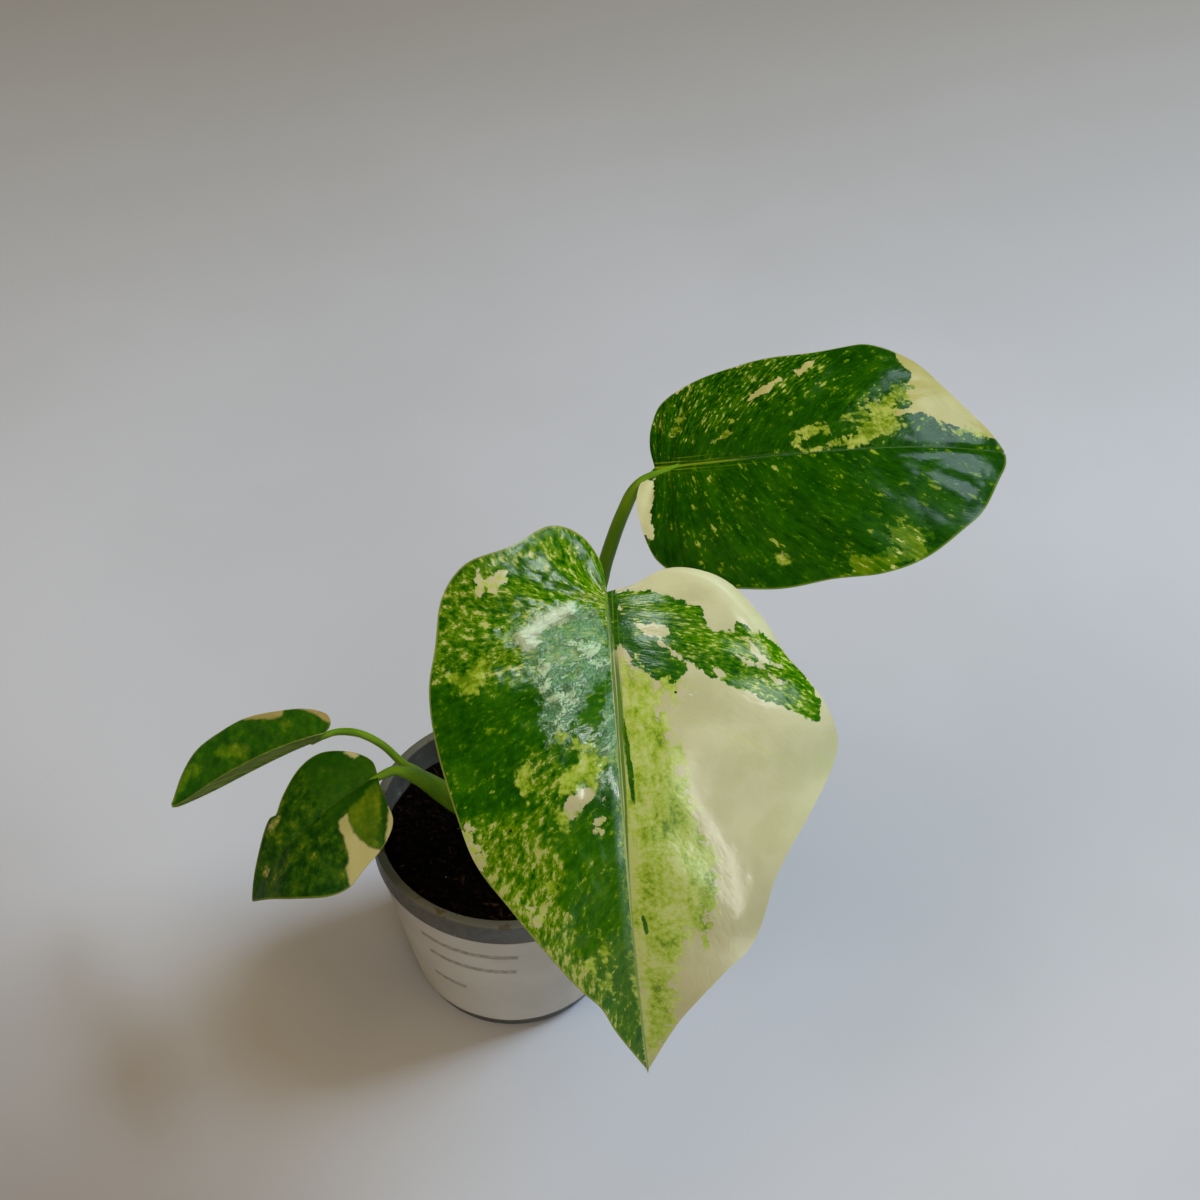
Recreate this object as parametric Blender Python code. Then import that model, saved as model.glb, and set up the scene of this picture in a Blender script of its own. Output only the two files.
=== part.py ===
"""A young variegated monstera in a small grey nursery pot with a plain paper wrap.

Units are metres with +Z up, and the origin is the centre of the pot's flat base. The driving
dimensions below are in millimetres and are scaled by MM where a mesh is made.
"""

import math

import bmesh
import bpy
import numpy as np
from mathutils import Vector, noise

MM = 0.001
CLEARANCE = 0.3

# Pot: a thin tapered cup with a stepped rim band.
POT_HEIGHT = 52.0
RIM_RADIUS = 31.8
BAND_RADIUS = 31.6
BAND_DEPTH = 6.5
BODY_TOP_RADIUS = 30.7
BASE_RADIUS = 23.6
WALL = 1.1
FLOOR = 1.6
POT_SEGMENTS = 56
DRAIN_HOLES = 6
DRAIN_CIRCLE = 16.4
DRAIN_RADIUS = 2.4
DRAIN_START_DEG = 23.0

# Paper wrap round the tapered body, open at a narrow seam behind.
LABEL_LOW = 5.4
LABEL_HIGH = 44.9
LABEL_THICK = 0.25
LABEL_SEAM_DEG = 3.0
LABEL_SEGMENTS = 60

# Soil: fills the cup to about 8 mm below the rim, with a lumpy top.
SOIL_TOP = 43.8
SOIL_LUMP = 0.9
SOIL_LUMP_SIZE = 5.5
SOIL_RINGS = 11
SOIL_SEGMENTS = 44

# Stem: short, its lower end in the soil.
STEM_X = 2.7
STEM_Y = -3.5
STEM_PROFILE = [
    (36.0, 3.3), (39.0, 4.0), (45.0, 4.3), (49.0, 4.0), (53.0, 4.1), (57.5, 3.5), (60.0, 2.2),
]

# Leaf blades.
BLADE_THICK = 0.5
EDGE_THICK = 0.3
RIB_WIDTH = 1.3
WAVE_PITCH = 27.0


def clear_scene():
    for obj in list(bpy.data.objects):
        bpy.data.objects.remove(obj, do_unlink=True)


def principled(name, colour, roughness):
    """A plain Principled material."""
    material = bpy.data.materials.new(name)
    material.use_nodes = True
    shader = material.node_tree.nodes["Principled BSDF"]
    shader.inputs["Base Color"].default_value = (*colour, 1.0)
    shader.inputs["Roughness"].default_value = roughness
    shader.inputs["Metallic"].default_value = 0.0
    material.diffuse_color = (*colour, 1.0)
    return material


def add_object(name, bm, material, smooth_deg=50.0):
    """Turns a closed bmesh, in millimetres, into a named object in metres."""
    bmesh.ops.scale(bm, vec=(MM, MM, MM), verts=bm.verts)
    bmesh.ops.recalc_face_normals(bm, faces=bm.faces)
    mesh = bpy.data.meshes.new(name)
    bm.to_mesh(mesh)
    bm.free()
    mesh.shade_smooth()
    mesh.set_sharp_from_angle(angle=math.radians(smooth_deg))
    mesh.materials.append(material)
    obj = bpy.data.objects.new(name, mesh)
    bpy.context.scene.collection.objects.link(obj)
    return obj


def hide_helper(obj):
    """A cutter stays in the file as a wire shape that doesn't render."""
    obj.hide_render = True
    obj.display_type = "WIRE"


def boolean(obj, other, operation):
    modifier = obj.modifiers.new(operation.lower() + "_" + other.name, "BOOLEAN")
    modifier.operation = operation
    modifier.solver = "EXACT"
    modifier.object = other


def ring(bm, centre, across, along, radius, count):
    """A ring of vertices round a centre, in the plane of two unit vectors."""
    verts = []
    for index in range(count):
        angle = 2 * math.pi * index / count
        offset = math.cos(angle) * across + math.sin(angle) * along
        verts.append(bm.verts.new(centre + radius * offset))
    return verts


def bridge(bm, first, second, closed=True):
    """Quads between two rows of as many vertices."""
    count = len(first)
    last = count if closed else count - 1
    for index in range(last):
        after = (index + 1) % count
        bm.faces.new((first[index], first[after], second[after], second[index]))


def turned(profile, segments, centre=(0.0, 0.0)):
    """A solid of revolution: rings at (radius, height), and a fan at each end."""
    bm = bmesh.new()
    rings = []
    for radius, height in profile:
        middle = Vector((centre[0], centre[1], height))
        rings.append(ring(bm, middle, Vector((1, 0, 0)), Vector((0, 1, 0)), radius, segments))
    for first, second in zip(rings, rings[1:]):
        bridge(bm, first, second)
    bm.faces.new(rings[0])
    bm.faces.new(rings[-1])
    return bm


# Pot and label


def body_radius(height):
    """Outer radius of the tapered wall below the rim band."""
    band_low = POT_HEIGHT - BAND_DEPTH
    return BASE_RADIUS + (BODY_TOP_RADIUS - BASE_RADIUS) * height / band_low


def inner_radius(height):
    return body_radius(height) - WALL


def pot_profile():
    """The cup's section from the middle of its base, round the rim, to the inside floor."""
    band_low = POT_HEIGHT - BAND_DEPTH
    outside = [(8.0, 0.0), (BASE_RADIUS - 0.7, 0.0), (BASE_RADIUS, 0.9), (body_radius(3.0), 3.0)]
    band = [
        (BODY_TOP_RADIUS, band_low),
        (BAND_RADIUS, band_low + 0.4),
        (RIM_RADIUS - 0.1, POT_HEIGHT - 0.7),
        (RIM_RADIUS, POT_HEIGHT - 0.3),
        (RIM_RADIUS - 0.4, POT_HEIGHT),
        (RIM_RADIUS - 1.9, POT_HEIGHT),
        (RIM_RADIUS - 2.2, POT_HEIGHT - 0.4),
    ]
    inside = [(inner_radius(band_low) + 0.3, band_low + 0.5), (inner_radius(FLOOR + 1), FLOOR + 1)]
    floor = [(inner_radius(FLOOR) - 1.0, FLOOR), (8.0, FLOOR)]
    return outside + band + inside + floor


def make_pot(material):
    bm = turned(pot_profile(), POT_SEGMENTS)
    pot = add_object("pot", bm, material, smooth_deg=35.0)
    for index in range(DRAIN_HOLES):
        angle = math.radians(DRAIN_START_DEG) + 2 * math.pi * index / DRAIN_HOLES
        x = DRAIN_CIRCLE * math.cos(angle)
        y = DRAIN_CIRCLE * math.sin(angle)
        drill = turned([(DRAIN_RADIUS, -2.0), (DRAIN_RADIUS, FLOOR + 2.0)], 16, centre=(x, y))
        cutter = add_object("drain_cutter_%d" % index, drill, material)
        hide_helper(cutter)
        boolean(pot, cutter, "DIFFERENCE")
    return pot


def make_label(material):
    """A thin tapered wrap with a narrow open seam at the back."""
    bm = bmesh.new()
    start = math.radians(90.0 + LABEL_SEAM_DEG / 2)
    sweep = math.radians(360.0 - LABEL_SEAM_DEG)
    sections = []
    for index in range(LABEL_SEGMENTS + 1):
        angle = start + sweep * index / LABEL_SEGMENTS
        section = []
        for height, outer in ((LABEL_LOW, 0), (LABEL_LOW, 1), (LABEL_HIGH, 1), (LABEL_HIGH, 0)):
            radius = body_radius(height) + CLEARANCE + outer * LABEL_THICK
            place = (radius * math.cos(angle), radius * math.sin(angle), height)
            section.append(bm.verts.new(place))
        sections.append(section)
    for first, second in zip(sections, sections[1:]):
        bridge(bm, first, second)
    bm.faces.new(sections[0])
    bm.faces.new(sections[-1])
    return add_object("pot_label", bm, material, smooth_deg=30.0)


# Soil and stem


def soil_height(x, y, edge):
    """Lumps that fade toward the wall, so the soil meets it level."""
    lumps = noise.noise(Vector((x, y, 3.0)) / SOIL_LUMP_SIZE)
    fine = noise.noise(Vector((x, y, 9.0)) / 2.1)
    return SOIL_TOP + (SOIL_LUMP * lumps + 0.35 * fine) * (1.0 - 0.6 * edge)


def make_soil(material, stem_cutter):
    """The root ball's outside: it fills the cup and is hollowed round the stem."""
    bm = bmesh.new()
    up = Vector((1, 0, 0)), Vector((0, 1, 0))
    low = FLOOR + CLEARANCE
    sides = [(inner_radius(low) - 1.4, low), (inner_radius(low + 1.2) - CLEARANCE, low + 1.2)]
    rings = [ring(bm, Vector((0, 0, z)), *up, radius, SOIL_SEGMENTS) for radius, z in sides]
    wall_radius = inner_radius(SOIL_TOP) - 0.4
    for step in range(SOIL_RINGS, 0, -1):
        share = step / SOIL_RINGS
        verts = ring(bm, Vector((0, 0, 0)), *up, wall_radius * share, SOIL_SEGMENTS)
        for vert in verts:
            vert.co.z = soil_height(vert.co.x, vert.co.y, share)
        rings.append(verts)
    for first, second in zip(rings, rings[1:]):
        bridge(bm, first, second)
    bm.faces.new(rings[0])
    middle = bm.verts.new((0, 0, soil_height(0, 0, 0)))
    inner = rings[-1]
    for index in range(SOIL_SEGMENTS):
        bm.faces.new((inner[index], inner[(index + 1) % SOIL_SEGMENTS], middle))
    soil = add_object("soil", bm, material, smooth_deg=60.0)
    boolean(soil, stem_cutter, "DIFFERENCE")
    return soil


def stem_body(grow):
    """The short stem, or the same shape grown all round for a cutter."""
    low, high = STEM_PROFILE[0], STEM_PROFILE[-1]
    profile = [(radius + grow, height) for height, radius in STEM_PROFILE]
    profile[0] = (low[1] + grow, low[0] - grow)
    profile[-1] = (high[1] + grow, high[0] + grow)
    return turned(profile, 20, centre=(STEM_X, STEM_Y))


# Petioles


def tube(path, radii, sides):
    """A round solid along a path, with its rings square to the path."""
    bm = bmesh.new()
    rings = []
    across = Vector((1, 0, 0))
    for index, centre in enumerate(path):
        before = path[max(index - 1, 0)]
        after = path[min(index + 1, len(path) - 1)]
        along = (after - before).normalized()
        across = (across - across.dot(along) * along).normalized()
        rings.append(ring(bm, centre, across, along.cross(across), radii[index], sides))
    for first, second in zip(rings, rings[1:]):
        bridge(bm, first, second)
    bm.faces.new(rings[0])
    bm.faces.new(rings[-1])
    return bm


def smooth_points(points, count):
    """Points spaced along a Catmull-Rom curve through the given ones."""
    given = np.array(points, dtype=float)
    padded = np.vstack([2 * given[0] - given[1], given, 2 * given[-1] - given[-2]])
    spans = len(given) - 1
    dense = []
    for place in np.linspace(0, spans, 20 * spans + 1):
        span = min(int(place), spans - 1)
        t = place - span
        a, b, c, d = padded[span : span + 4]
        bend = (2 * b) + (c - a) * t + (2 * a - 5 * b + 4 * c - d) * t**2
        dense.append(0.5 * (bend + (3 * b - 3 * c + d - a) * t**3))
    dense = np.array(dense)
    lengths = np.linalg.norm(np.diff(dense, axis=0), axis=1)
    travelled = np.concatenate([[0.0], np.cumsum(lengths)])
    wanted = np.linspace(0, travelled[-1], count)
    columns = [np.interp(wanted, travelled, column) for column in dense.T]
    return np.stack(columns, axis=1)


def petiole_body(name, shape, grow, count=20, sides=12):
    """A stalk from inside the stem to under its blade, or the same grown all round for a cutter."""
    spec = PETIOLES[name]
    along, below = spec["joins"]
    point, _, facing, _ = shape.frame(along)
    end = tuple(point - below * facing)
    path = [Vector(place) for place in smooth_points(spec["through"] + [end], count)]
    shares = np.linspace(0, 1, count)
    places = np.linspace(0, 1, len(spec["radii"]))
    widths = [float(width) + grow for width in np.interp(shares, places, spec["radii"])]
    return tube(path, widths, sides)


# Each petiole runs through these points, then joins its blade at a distance along the
# midrib and a depth under it.

PETIOLES = {
    "front": {
        "through": [
            (2.7, -4, 57), (3.8, -5.6, 66), (7.2, -7.5, 85), (12.2, -11, 110), (17.7, -16, 131), (21, -22, 143),
        ],
        "joins": (1.5, 0.6),
        "radii": [2.3, 2.1, 1.9, 1.75, 1.7, 1.75, 1.6],
    },
    "back": {
        "through": [
            (4.2, -1.7, 54), (6.4, 0.8, 62), (10.2, 2.8, 80), (16, 4.4, 100), (20.8, 6, 118),
            (22.7, 7.6, 126.9), (26, 10.2, 137.2), (29.6, 12.4, 143.4),
        ],
        "joins": (5, 0.2),
        "radii": [2.1, 1.85, 1.65, 1.55, 1.55, 1.6, 1.55, 1.4, 0.6],
    },
    "low": {
        "through": [
            (1.7, -3.5, 49.5), (-4.8, -1, 51.5), (-11.8, 0.4, 56.3), (-17.1, -1.1, 64.4), (-20.1, -3, 69.6),
            (-22.5, -4.9, 73.2), (-25, -6, 74.6),
        ],
        "joins": (2.5, 0.6),
        "radii": [2.9, 2.9, 2.7, 2.45, 1.9, 1.2, 0.7],
    },
    "folded": {
        "through": [
            (0.7, -0.5, 45.5), (-8.8, 4, 48.5), (-15.8, 4, 56.8), (-20.2, 3.2, 63.4), (-23.5, 2.8, 67),
            (-28, 5.4, 70.2), (-33, 6.9, 72.4), (-37.8, 7.2, 72.8), (-41.2, 6.4, 72.2),
        ],
        "joins": (2.5, 0.6),
        "radii": [1.6, 1.5, 1.3, 1.05, 0.9, 0.9, 0.6],
    },
}

# Leaf blades. A blade is laid out flat as (distance along the midrib, distance across), with
# the midrib's start at (0, 0). Each margin runs from there round the basal lobe to the tip.
# The midrib is a Bezier curve, "facing" is its upper side at both ends, and each half rises
# from the midrib at the first angle and curls to the second at the blade's half width.

BLADES = {
    "front": {
        "midrib": [(22.6, -27.6, 151.9), (25.2, -58, 127), (27.2, -70, 101), (30.7, -78.5, 69.8)],
        "facing": [(0, -0.71, 0.71), (0, -0.82, 0.58)],
        "left": [
            (0, 0), (-6, -1), (-11, -4.5), (-12.8, -10), (-9.5, -17.5), (-7, -26), (-1, -31),
            (8, -32.8), (16.5, -34.6), (27, -34), (40, -31), (50, -28), (60, -21.5), (75, -12),
            (81, -7.5), (87, -5.2), (98, 0),
        ],
        "right": [
            (0, 0), (-1, 5), (-3.5, 11), (-3, 17), (0, 23), (7, 29), (14, 33), (19, 37.2), (25, 41),
            (32, 43), (38, 41), (44, 37), (52, 31), (58, 27.5), (66, 24.8), (71.5, 21.8), (77, 15.5),
            (86, 7.2), (98, 0),
        ],
        "rise_left": [8, -22],
        "rise_right": [8, -26],
        "half_width": 38,
        "wave": 0.7,
        "rib": 1.0,
        "grid": (30, 9),
    },
    "back": {
        "midrib": [(32.4, 15, 145), (58.2, 13, 150), (84.2, 21, 148), (106.7, 30, 136)],
        "facing": [(0, -0.24, 0.97), (0.25, -0.24, 0.94)],
        "left": [
            (0, 0), (-3, -4.5), (-3.3, -10.5), (-1, -18.8), (2, -23.5), (8, -28), (19, -29.8),
            (30, -28.7), (40, -28.8), (50, -25.6), (60, -19.8), (66, -15.6), (73, -8), (77, -3.6),
            (78.8, 0),
        ],
        "right": [
            (0, 0), (-1, 5), (-0.6, 10.5), (2, 16.2), (11.5, 21.8), (22, 24.3), (34, 25.5), (47, 27.2),
            (54, 27.2), (63, 22.8), (67.5, 16.2), (72, 9.6), (76, 4.8), (78.8, 0),
        ],
        "rise_left": [6, -16],
        "rise_right": [6, -14],
        "half_width": 30,
        "wave": 0.6,
        "rib": 0.9,
        "grid": (26, 8),
    },
    "low": {
        "midrib": [(-27.8, -6.5, 74), (-40.2, -13.8, 71), (-51.3, -20.2, 63), (-56.3, -23.2, 50.2)],
        "facing": [(-0.5, -0.29, 0.82), (-0.72, -0.35, 0.6)],
        "left": [
            (0, 0), (-0.5, -4), (2.5, -9.2), (8, -13.8), (14, -14.2), (20, -11.5), (24, -8.4),
            (26.2, -9), (33, -4.8), (42.5, 0),
        ],
        "right": [
            (0, 0), (1.8, 6), (2.5, 13), (7, 17), (14, 18.3), (19, 19.2), (24, 17.5), (30, 12.2),
            (36, 6), (42.5, 0),
        ],
        "rise_left": [12, -12],
        "rise_right": [12, -12],
        "half_width": 14,
        "wave": 0.35,
        "rib": 0.5,
        "grid": (20, 6),
    },
    "folded": {
        "midrib": [(-42.5, 5.9, 72.1), (-54, 7.2, 65), (-71.4, 6.6, 50.2), (-79.4, 7.6, 45.6)],
        "facing": [(-0.55, 0, 0.83), (-0.55, 0, 0.83)],
        "left": [
            (0, 0), (-3.6, -1.6), (-3.4, -4.6), (2, -7.6), (10, -10), (20, -12.4), (28, -12.2),
            (36, -10.6), (42, -6.6), (46.8, 0),
        ],
        "right": [
            (0, 0), (-4.4, 2.8), (-2, 5.4), (5, 6.8), (12, 8), (20, 8), (29, 6), (38, 2.8), (46.8, 0),
        ],
        "rise_left": [28, 25],
        "rise_right": [52, 50],
        "half_width": 14,
        "wave": 0.25,
        "rib": 0.5,
        "grid": (20, 6),
    },
}


def bezier(points, share):
    """A point on the cubic Bezier curve of four control points."""
    a, b, c, d = points
    rest = 1 - share
    return rest**3 * a + 3 * rest**2 * share * b + 3 * rest * share**2 * c + share**3 * d


class BladeShape:
    """Carries flat blade places to the curved blade in the plant's frame."""

    def __init__(self, spec):
        control = [np.array(point, dtype=float) for point in spec["midrib"]]
        shares = np.linspace(0, 1, 201)
        self.points = np.array([bezier(control, share) for share in shares])
        steps = np.linalg.norm(np.diff(self.points, axis=0), axis=1)
        self.travelled = np.concatenate([[0.0], np.cumsum(steps)])
        self.length = self.travelled[-1]
        tangents = np.gradient(self.points, axis=0)
        self.tangents = tangents / np.linalg.norm(tangents, axis=1)[:, None]
        base, tip = (np.array(way, dtype=float) for way in spec["facing"])
        self.facings = base + (tip - base) * shares[:, None]
        self.spec = spec

    def frame(self, along):
        """Midrib point, direction, facing and rightward direction at a distance along it."""
        inside = min(max(along, 0.0), self.length)
        read = [np.interp(inside, self.travelled, column) for column in self.points.T]
        tangent = np.array([np.interp(inside, self.travelled, column) for column in self.tangents.T])
        tangent /= np.linalg.norm(tangent)
        facing = np.array([np.interp(inside, self.travelled, column) for column in self.facings.T])
        facing -= facing.dot(tangent) * tangent
        facing /= np.linalg.norm(facing)
        point = np.array(read) + (along - inside) * tangent
        return point, tangent, facing, np.cross(facing, tangent)

    def place(self, along, across):
        """The point of the curved blade: each half rises from the midrib and curls over."""
        point, _, facing, rightward = self.frame(along)
        side = "rise_right" if across > 0 else "rise_left"
        near, far = (math.radians(angle) for angle in self.spec[side])
        distance = abs(across)
        curl = (far - near) / self.spec["half_width"]
        outward = (math.sin(near + curl * distance) - math.sin(near)) / curl
        height = (math.cos(near) - math.cos(near + curl * distance)) / curl
        outer = (distance / self.spec["half_width"]) ** 2
        height += self.spec["wave"] * outer * math.sin(2 * math.pi * along / WAVE_PITCH + 0.05 * across)
        return point + math.copysign(outward, across) * rightward + height * facing

    def normal(self, along, across):
        """The upper face's direction, from two short steps on the surface."""
        step = 0.2
        forward = self.place(along + step, across) - self.place(along - step, across)
        sideward = self.place(along, across + step) - self.place(along, across - step)
        way = np.cross(sideward, forward)
        way *= np.sign(way.dot(self.frame(along)[2]))
        return way / np.linalg.norm(way)


def vein_foot(length, share):
    """Where a side vein leaves the midrib: those of the basal lobe start close together."""
    return length * (0.07 * share + 0.93 * share**2.7)


def vein_place(foot, margin, share):
    """A flat place on the curved side vein from the midrib out to the margin."""
    along, across = margin
    bend = (foot + 0.25 * (along - foot), 0.55 * across)
    rest = 1 - share
    flat_along = rest**2 * foot + 2 * rest * share * bend[0] + share**2 * along
    flat_across = 2 * rest * share * bend[1] + share**2 * across
    return flat_along, flat_across


def make_blade(name, spec, shape, material):
    """A closed thin solid with a rib under its midrib and a thinner edge."""
    rows, columns = spec["grid"]
    margins = {side: smooth_points(spec[side], rows + 1) for side in ("left", "right")}
    bm = bmesh.new()

    def skins(along, across, edge):
        """The upper and the lower vertex at one flat place."""
        middle = shape.place(along, across)
        normal = shape.normal(along, across)
        thick = BLADE_THICK + (EDGE_THICK - BLADE_THICK) * edge
        taper = 1.0 - 0.7 * min(max(along / shape.length, 0.0), 1.0)
        rib = spec["rib"] * taper * math.exp(-((across / RIB_WIDTH) ** 2)) * (1.0 - edge)
        upper = bm.verts.new(middle + 0.5 * thick * normal)
        lower = bm.verts.new(middle - (0.5 * thick + rib) * normal)
        return upper, lower

    start = skins(0.0, 0.0, 1.0)
    tip = skins(shape.length, 0.0, 1.0)
    midrib = [skins(vein_foot(shape.length, row / rows), 0.0, 0.0) for row in range(1, rows)]
    for side in ("left", "right"):
        grid = []
        for row in range(1, rows):
            foot = vein_foot(shape.length, row / rows)
            line = [midrib[row - 1]]
            for column in range(1, columns + 1):
                share = column / columns
                along, across = vein_place(foot, margins[side][row], share)
                line.append(skins(along, across, share**3))
            grid.append(line)
        for skin in (0, 1):
            for first, second in zip(grid, grid[1:]):
                bridge(bm, [pair[skin] for pair in first], [pair[skin] for pair in second], closed=False)
            for column in range(columns):
                bm.faces.new((start[skin], grid[0][column][skin], grid[0][column + 1][skin]))
                bm.faces.new((tip[skin], grid[-1][column][skin], grid[-1][column + 1][skin]))
        edge = [start] + [line[-1] for line in grid] + [tip]
        for first, second in zip(edge, edge[1:]):
            bm.faces.new((first[0], second[0], second[1], first[1]))
    return add_object(name, bm, material, smooth_deg=60.0)


def make_leaves(materials, stem_cutter):
    """A leaf grew as one piece, stalk and blade. Each is fitted round the stem and its neighbours."""
    cutters = [stem_cutter]
    for name, spec in BLADES.items():
        shape = BladeShape(spec)
        material = materials[name]
        leaf = add_object("leaf_" + name, petiole_body(name, shape, 0.0), material)
        blade = make_blade("blade_" + name, spec, shape, material)
        hide_helper(blade)
        boolean(leaf, blade, "UNION")
        for cutter in cutters:
            boolean(leaf, cutter, "DIFFERENCE")
        cutter = add_object("clearance_" + name, petiole_body(name, shape, CLEARANCE), material)
        hide_helper(cutter)
        cutters.append(cutter)


def main():
    clear_scene()
    pot_grey = principled("pot", (0.17, 0.17, 0.165), 0.45)
    paper = principled("pot_label", (0.74, 0.73, 0.71), 0.6)
    earth = principled("soil", (0.02, 0.014, 0.01), 0.95)
    stem_green = principled("stem", (0.12, 0.2, 0.035), 0.45)
    leaf_greens = {
        "front": principled("leaf_front", (0.36, 0.4, 0.16), 0.36),
        "back": principled("leaf_back", (0.09, 0.19, 0.035), 0.36),
        "low": principled("leaf_low", (0.2, 0.28, 0.08), 0.4),
        "folded": principled("leaf_folded", (0.12, 0.2, 0.05), 0.4),
    }
    make_pot(pot_grey)
    make_label(paper)
    add_object("stem", stem_body(0.0), stem_green)
    stem_cutter = add_object("stem_clearance", stem_body(CLEARANCE), earth)
    hide_helper(stem_cutter)
    make_soil(earth, stem_cutter)
    make_leaves(leaf_greens, stem_cutter)


main()
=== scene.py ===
"""The finish of a young variegated monstera in a small grey nursery pot.

Lengths are in millimetres and MM turns them to metres. A leaf is described flat, by places of
(distance along the midrib from its start, distance across it), and bent to its real shape.
"""

import math
import random

import bmesh
import bpy
import numpy as np
from mathutils import Euler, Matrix, Quaternion, Vector, noise

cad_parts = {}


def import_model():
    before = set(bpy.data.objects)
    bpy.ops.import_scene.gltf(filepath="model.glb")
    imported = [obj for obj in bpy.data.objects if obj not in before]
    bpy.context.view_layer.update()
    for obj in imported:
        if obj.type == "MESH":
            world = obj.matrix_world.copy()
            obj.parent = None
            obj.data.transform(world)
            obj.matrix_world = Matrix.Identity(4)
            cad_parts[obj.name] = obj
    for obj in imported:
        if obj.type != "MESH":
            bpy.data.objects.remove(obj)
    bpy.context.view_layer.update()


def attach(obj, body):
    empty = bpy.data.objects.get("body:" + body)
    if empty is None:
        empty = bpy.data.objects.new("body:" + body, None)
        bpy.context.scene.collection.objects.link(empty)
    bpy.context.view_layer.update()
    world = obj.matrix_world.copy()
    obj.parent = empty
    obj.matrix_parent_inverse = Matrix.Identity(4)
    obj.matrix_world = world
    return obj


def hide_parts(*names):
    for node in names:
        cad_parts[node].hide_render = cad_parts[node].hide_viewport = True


MM = 0.001

# Leaf blades: the curved shape that the frame's leaves have, and the relief on it.
BLADE_THICK = 0.42
EDGE_THICK = 0.26
UPPER_SKIN = 0.22
WAVE_PITCH = 27.0
RIB_WIDTH = 1.1
MIDRIB_STEPS = 400
GROOVE_WIDTH = 0.8
BANK_PLACE = 1.6
BANK_WIDTH = 0.9
BANK_SHARE = 0.6
LUMP_HEIGHT = 0.1
CREASE_HEIGHT = 0.5
LEFT_LEAN = 0.13
RIGHT_LEAN = -0.09
WAVE_SLANT = 0.05
RIB_TAPER = 0.7
LOBE_SPACING = 0.07
VEIN_CROWDING = 2.7
VEIN_BEND = (0.25, 0.55)

BLADES = {
    "front": {
        "midrib": [(22.6, -27.6, 151.9), (25.2, -58, 127), (27.2, -70, 101), (30.7, -78.5, 69.8)],
        "facing": [(0, -0.71, 0.71), (0, -0.82, 0.58)],
        "left": [
            (0, 0), (-6, -1), (-11, -4.5), (-12.8, -10), (-9.5, -17.5), (-7, -26), (-1, -31),
            (8, -32.8), (16.5, -34.6), (27, -34), (40, -31), (50, -28), (60, -21.5), (75, -12),
            (81, -7.5), (87, -5.2), (98, 0),
        ],
        "right": [
            (0, 0), (-1, 5), (-3.5, 11), (-3, 17), (0, 23), (7, 29), (14, 33), (19, 37.2), (25, 41),
            (32, 43), (38, 41), (44, 37), (52, 31), (58, 27.5), (66, 24.8), (71.5, 21.8), (77, 15.5),
            (86, 7.2), (98, 0),
        ],
        "rise_left": [8, -22], "rise_right": [8, -26], "half_width": 38, "wave": 0.7, "rib": 1.0,
        "grid": (210, 70), "veins": 10, "groove": 0.03, "pucker": 0.34, "calm_right": 0.4,
    },
    "back": {
        "midrib": [(32.4, 15, 145), (58.2, 13, 150), (84.2, 21, 148), (106.7, 30, 136)],
        "facing": [(0, -0.24, 0.97), (0.25, -0.24, 0.94)],
        "left": [
            (0, 0), (-3, -4.5), (-3.3, -10.5), (-1, -18.8), (2, -23.5), (8, -28), (19, -29.8),
            (30, -28.7), (40, -28.8), (50, -25.6), (60, -19.8), (66, -15.6), (73, -8), (77, -3.6),
            (78.8, 0),
        ],
        "right": [
            (0, 0), (-1, 5), (-0.6, 10.5), (2, 16.2), (11.5, 21.8), (22, 24.3), (34, 25.5), (47, 27.2),
            (54, 27.2), (63, 22.8), (67.5, 16.2), (72, 9.6), (76, 4.8), (78.8, 0),
        ],
        "rise_left": [6, -16], "rise_right": [6, -14], "half_width": 30, "wave": 0.6, "rib": 0.9,
        "grid": (180, 58), "veins": 9, "groove": 0.08, "pucker": 0.3, "calm_right": 1.0,
    },
    "low": {
        "midrib": [(-27.8, -6.5, 74), (-40.2, -13.8, 71), (-51.3, -20.2, 63), (-56.3, -23.2, 50.2)],
        "facing": [(-0.5, -0.29, 0.82), (-0.72, -0.35, 0.6)],
        "left": [
            (0, 0), (-0.5, -4), (2.5, -9.2), (8, -13.8), (14, -14.2), (20, -11.5), (24, -8.4),
            (26.2, -9), (33, -4.8), (42.5, 0),
        ],
        "right": [
            (0, 0), (1.8, 6), (2.5, 13), (7, 17), (14, 18.3), (19, 19.2), (24, 17.5), (30, 12.2),
            (36, 6), (42.5, 0),
        ],
        "rise_left": [12, -12], "rise_right": [12, -12], "half_width": 14, "wave": 0.35, "rib": 0.5,
        "grid": (110, 36), "veins": 7, "groove": 0.07, "pucker": 0.16, "calm_right": 1.0,
    },
    "folded": {
        "midrib": [(-42.5, 5.9, 72.1), (-54, 7.2, 65), (-71.4, 6.6, 50.2), (-79.4, 7.6, 45.6)],
        "facing": [(-0.55, 0, 0.83), (-0.55, 0, 0.83)],
        "left": [
            (0, 0), (-3.6, -1.6), (-3.4, -4.6), (2, -7.6), (10, -10), (20, -12.4), (28, -12.2),
            (36, -10.6), (42, -6.6), (46.8, 0),
        ],
        "right": [
            (0, 0), (-4.4, 2.8), (-2, 5.4), (5, 6.8), (12, 8), (20, 8), (29, 6), (38, 2.8), (46.8, 0),
        ],
        "rise_left": [28, 25], "rise_right": [52, 50], "half_width": 14, "wave": 0.25, "rib": 0.5,
        "grid": (110, 30), "veins": 7, "groove": 0.1, "pucker": 0.14, "calm_right": 1.0,
    },
}

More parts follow.
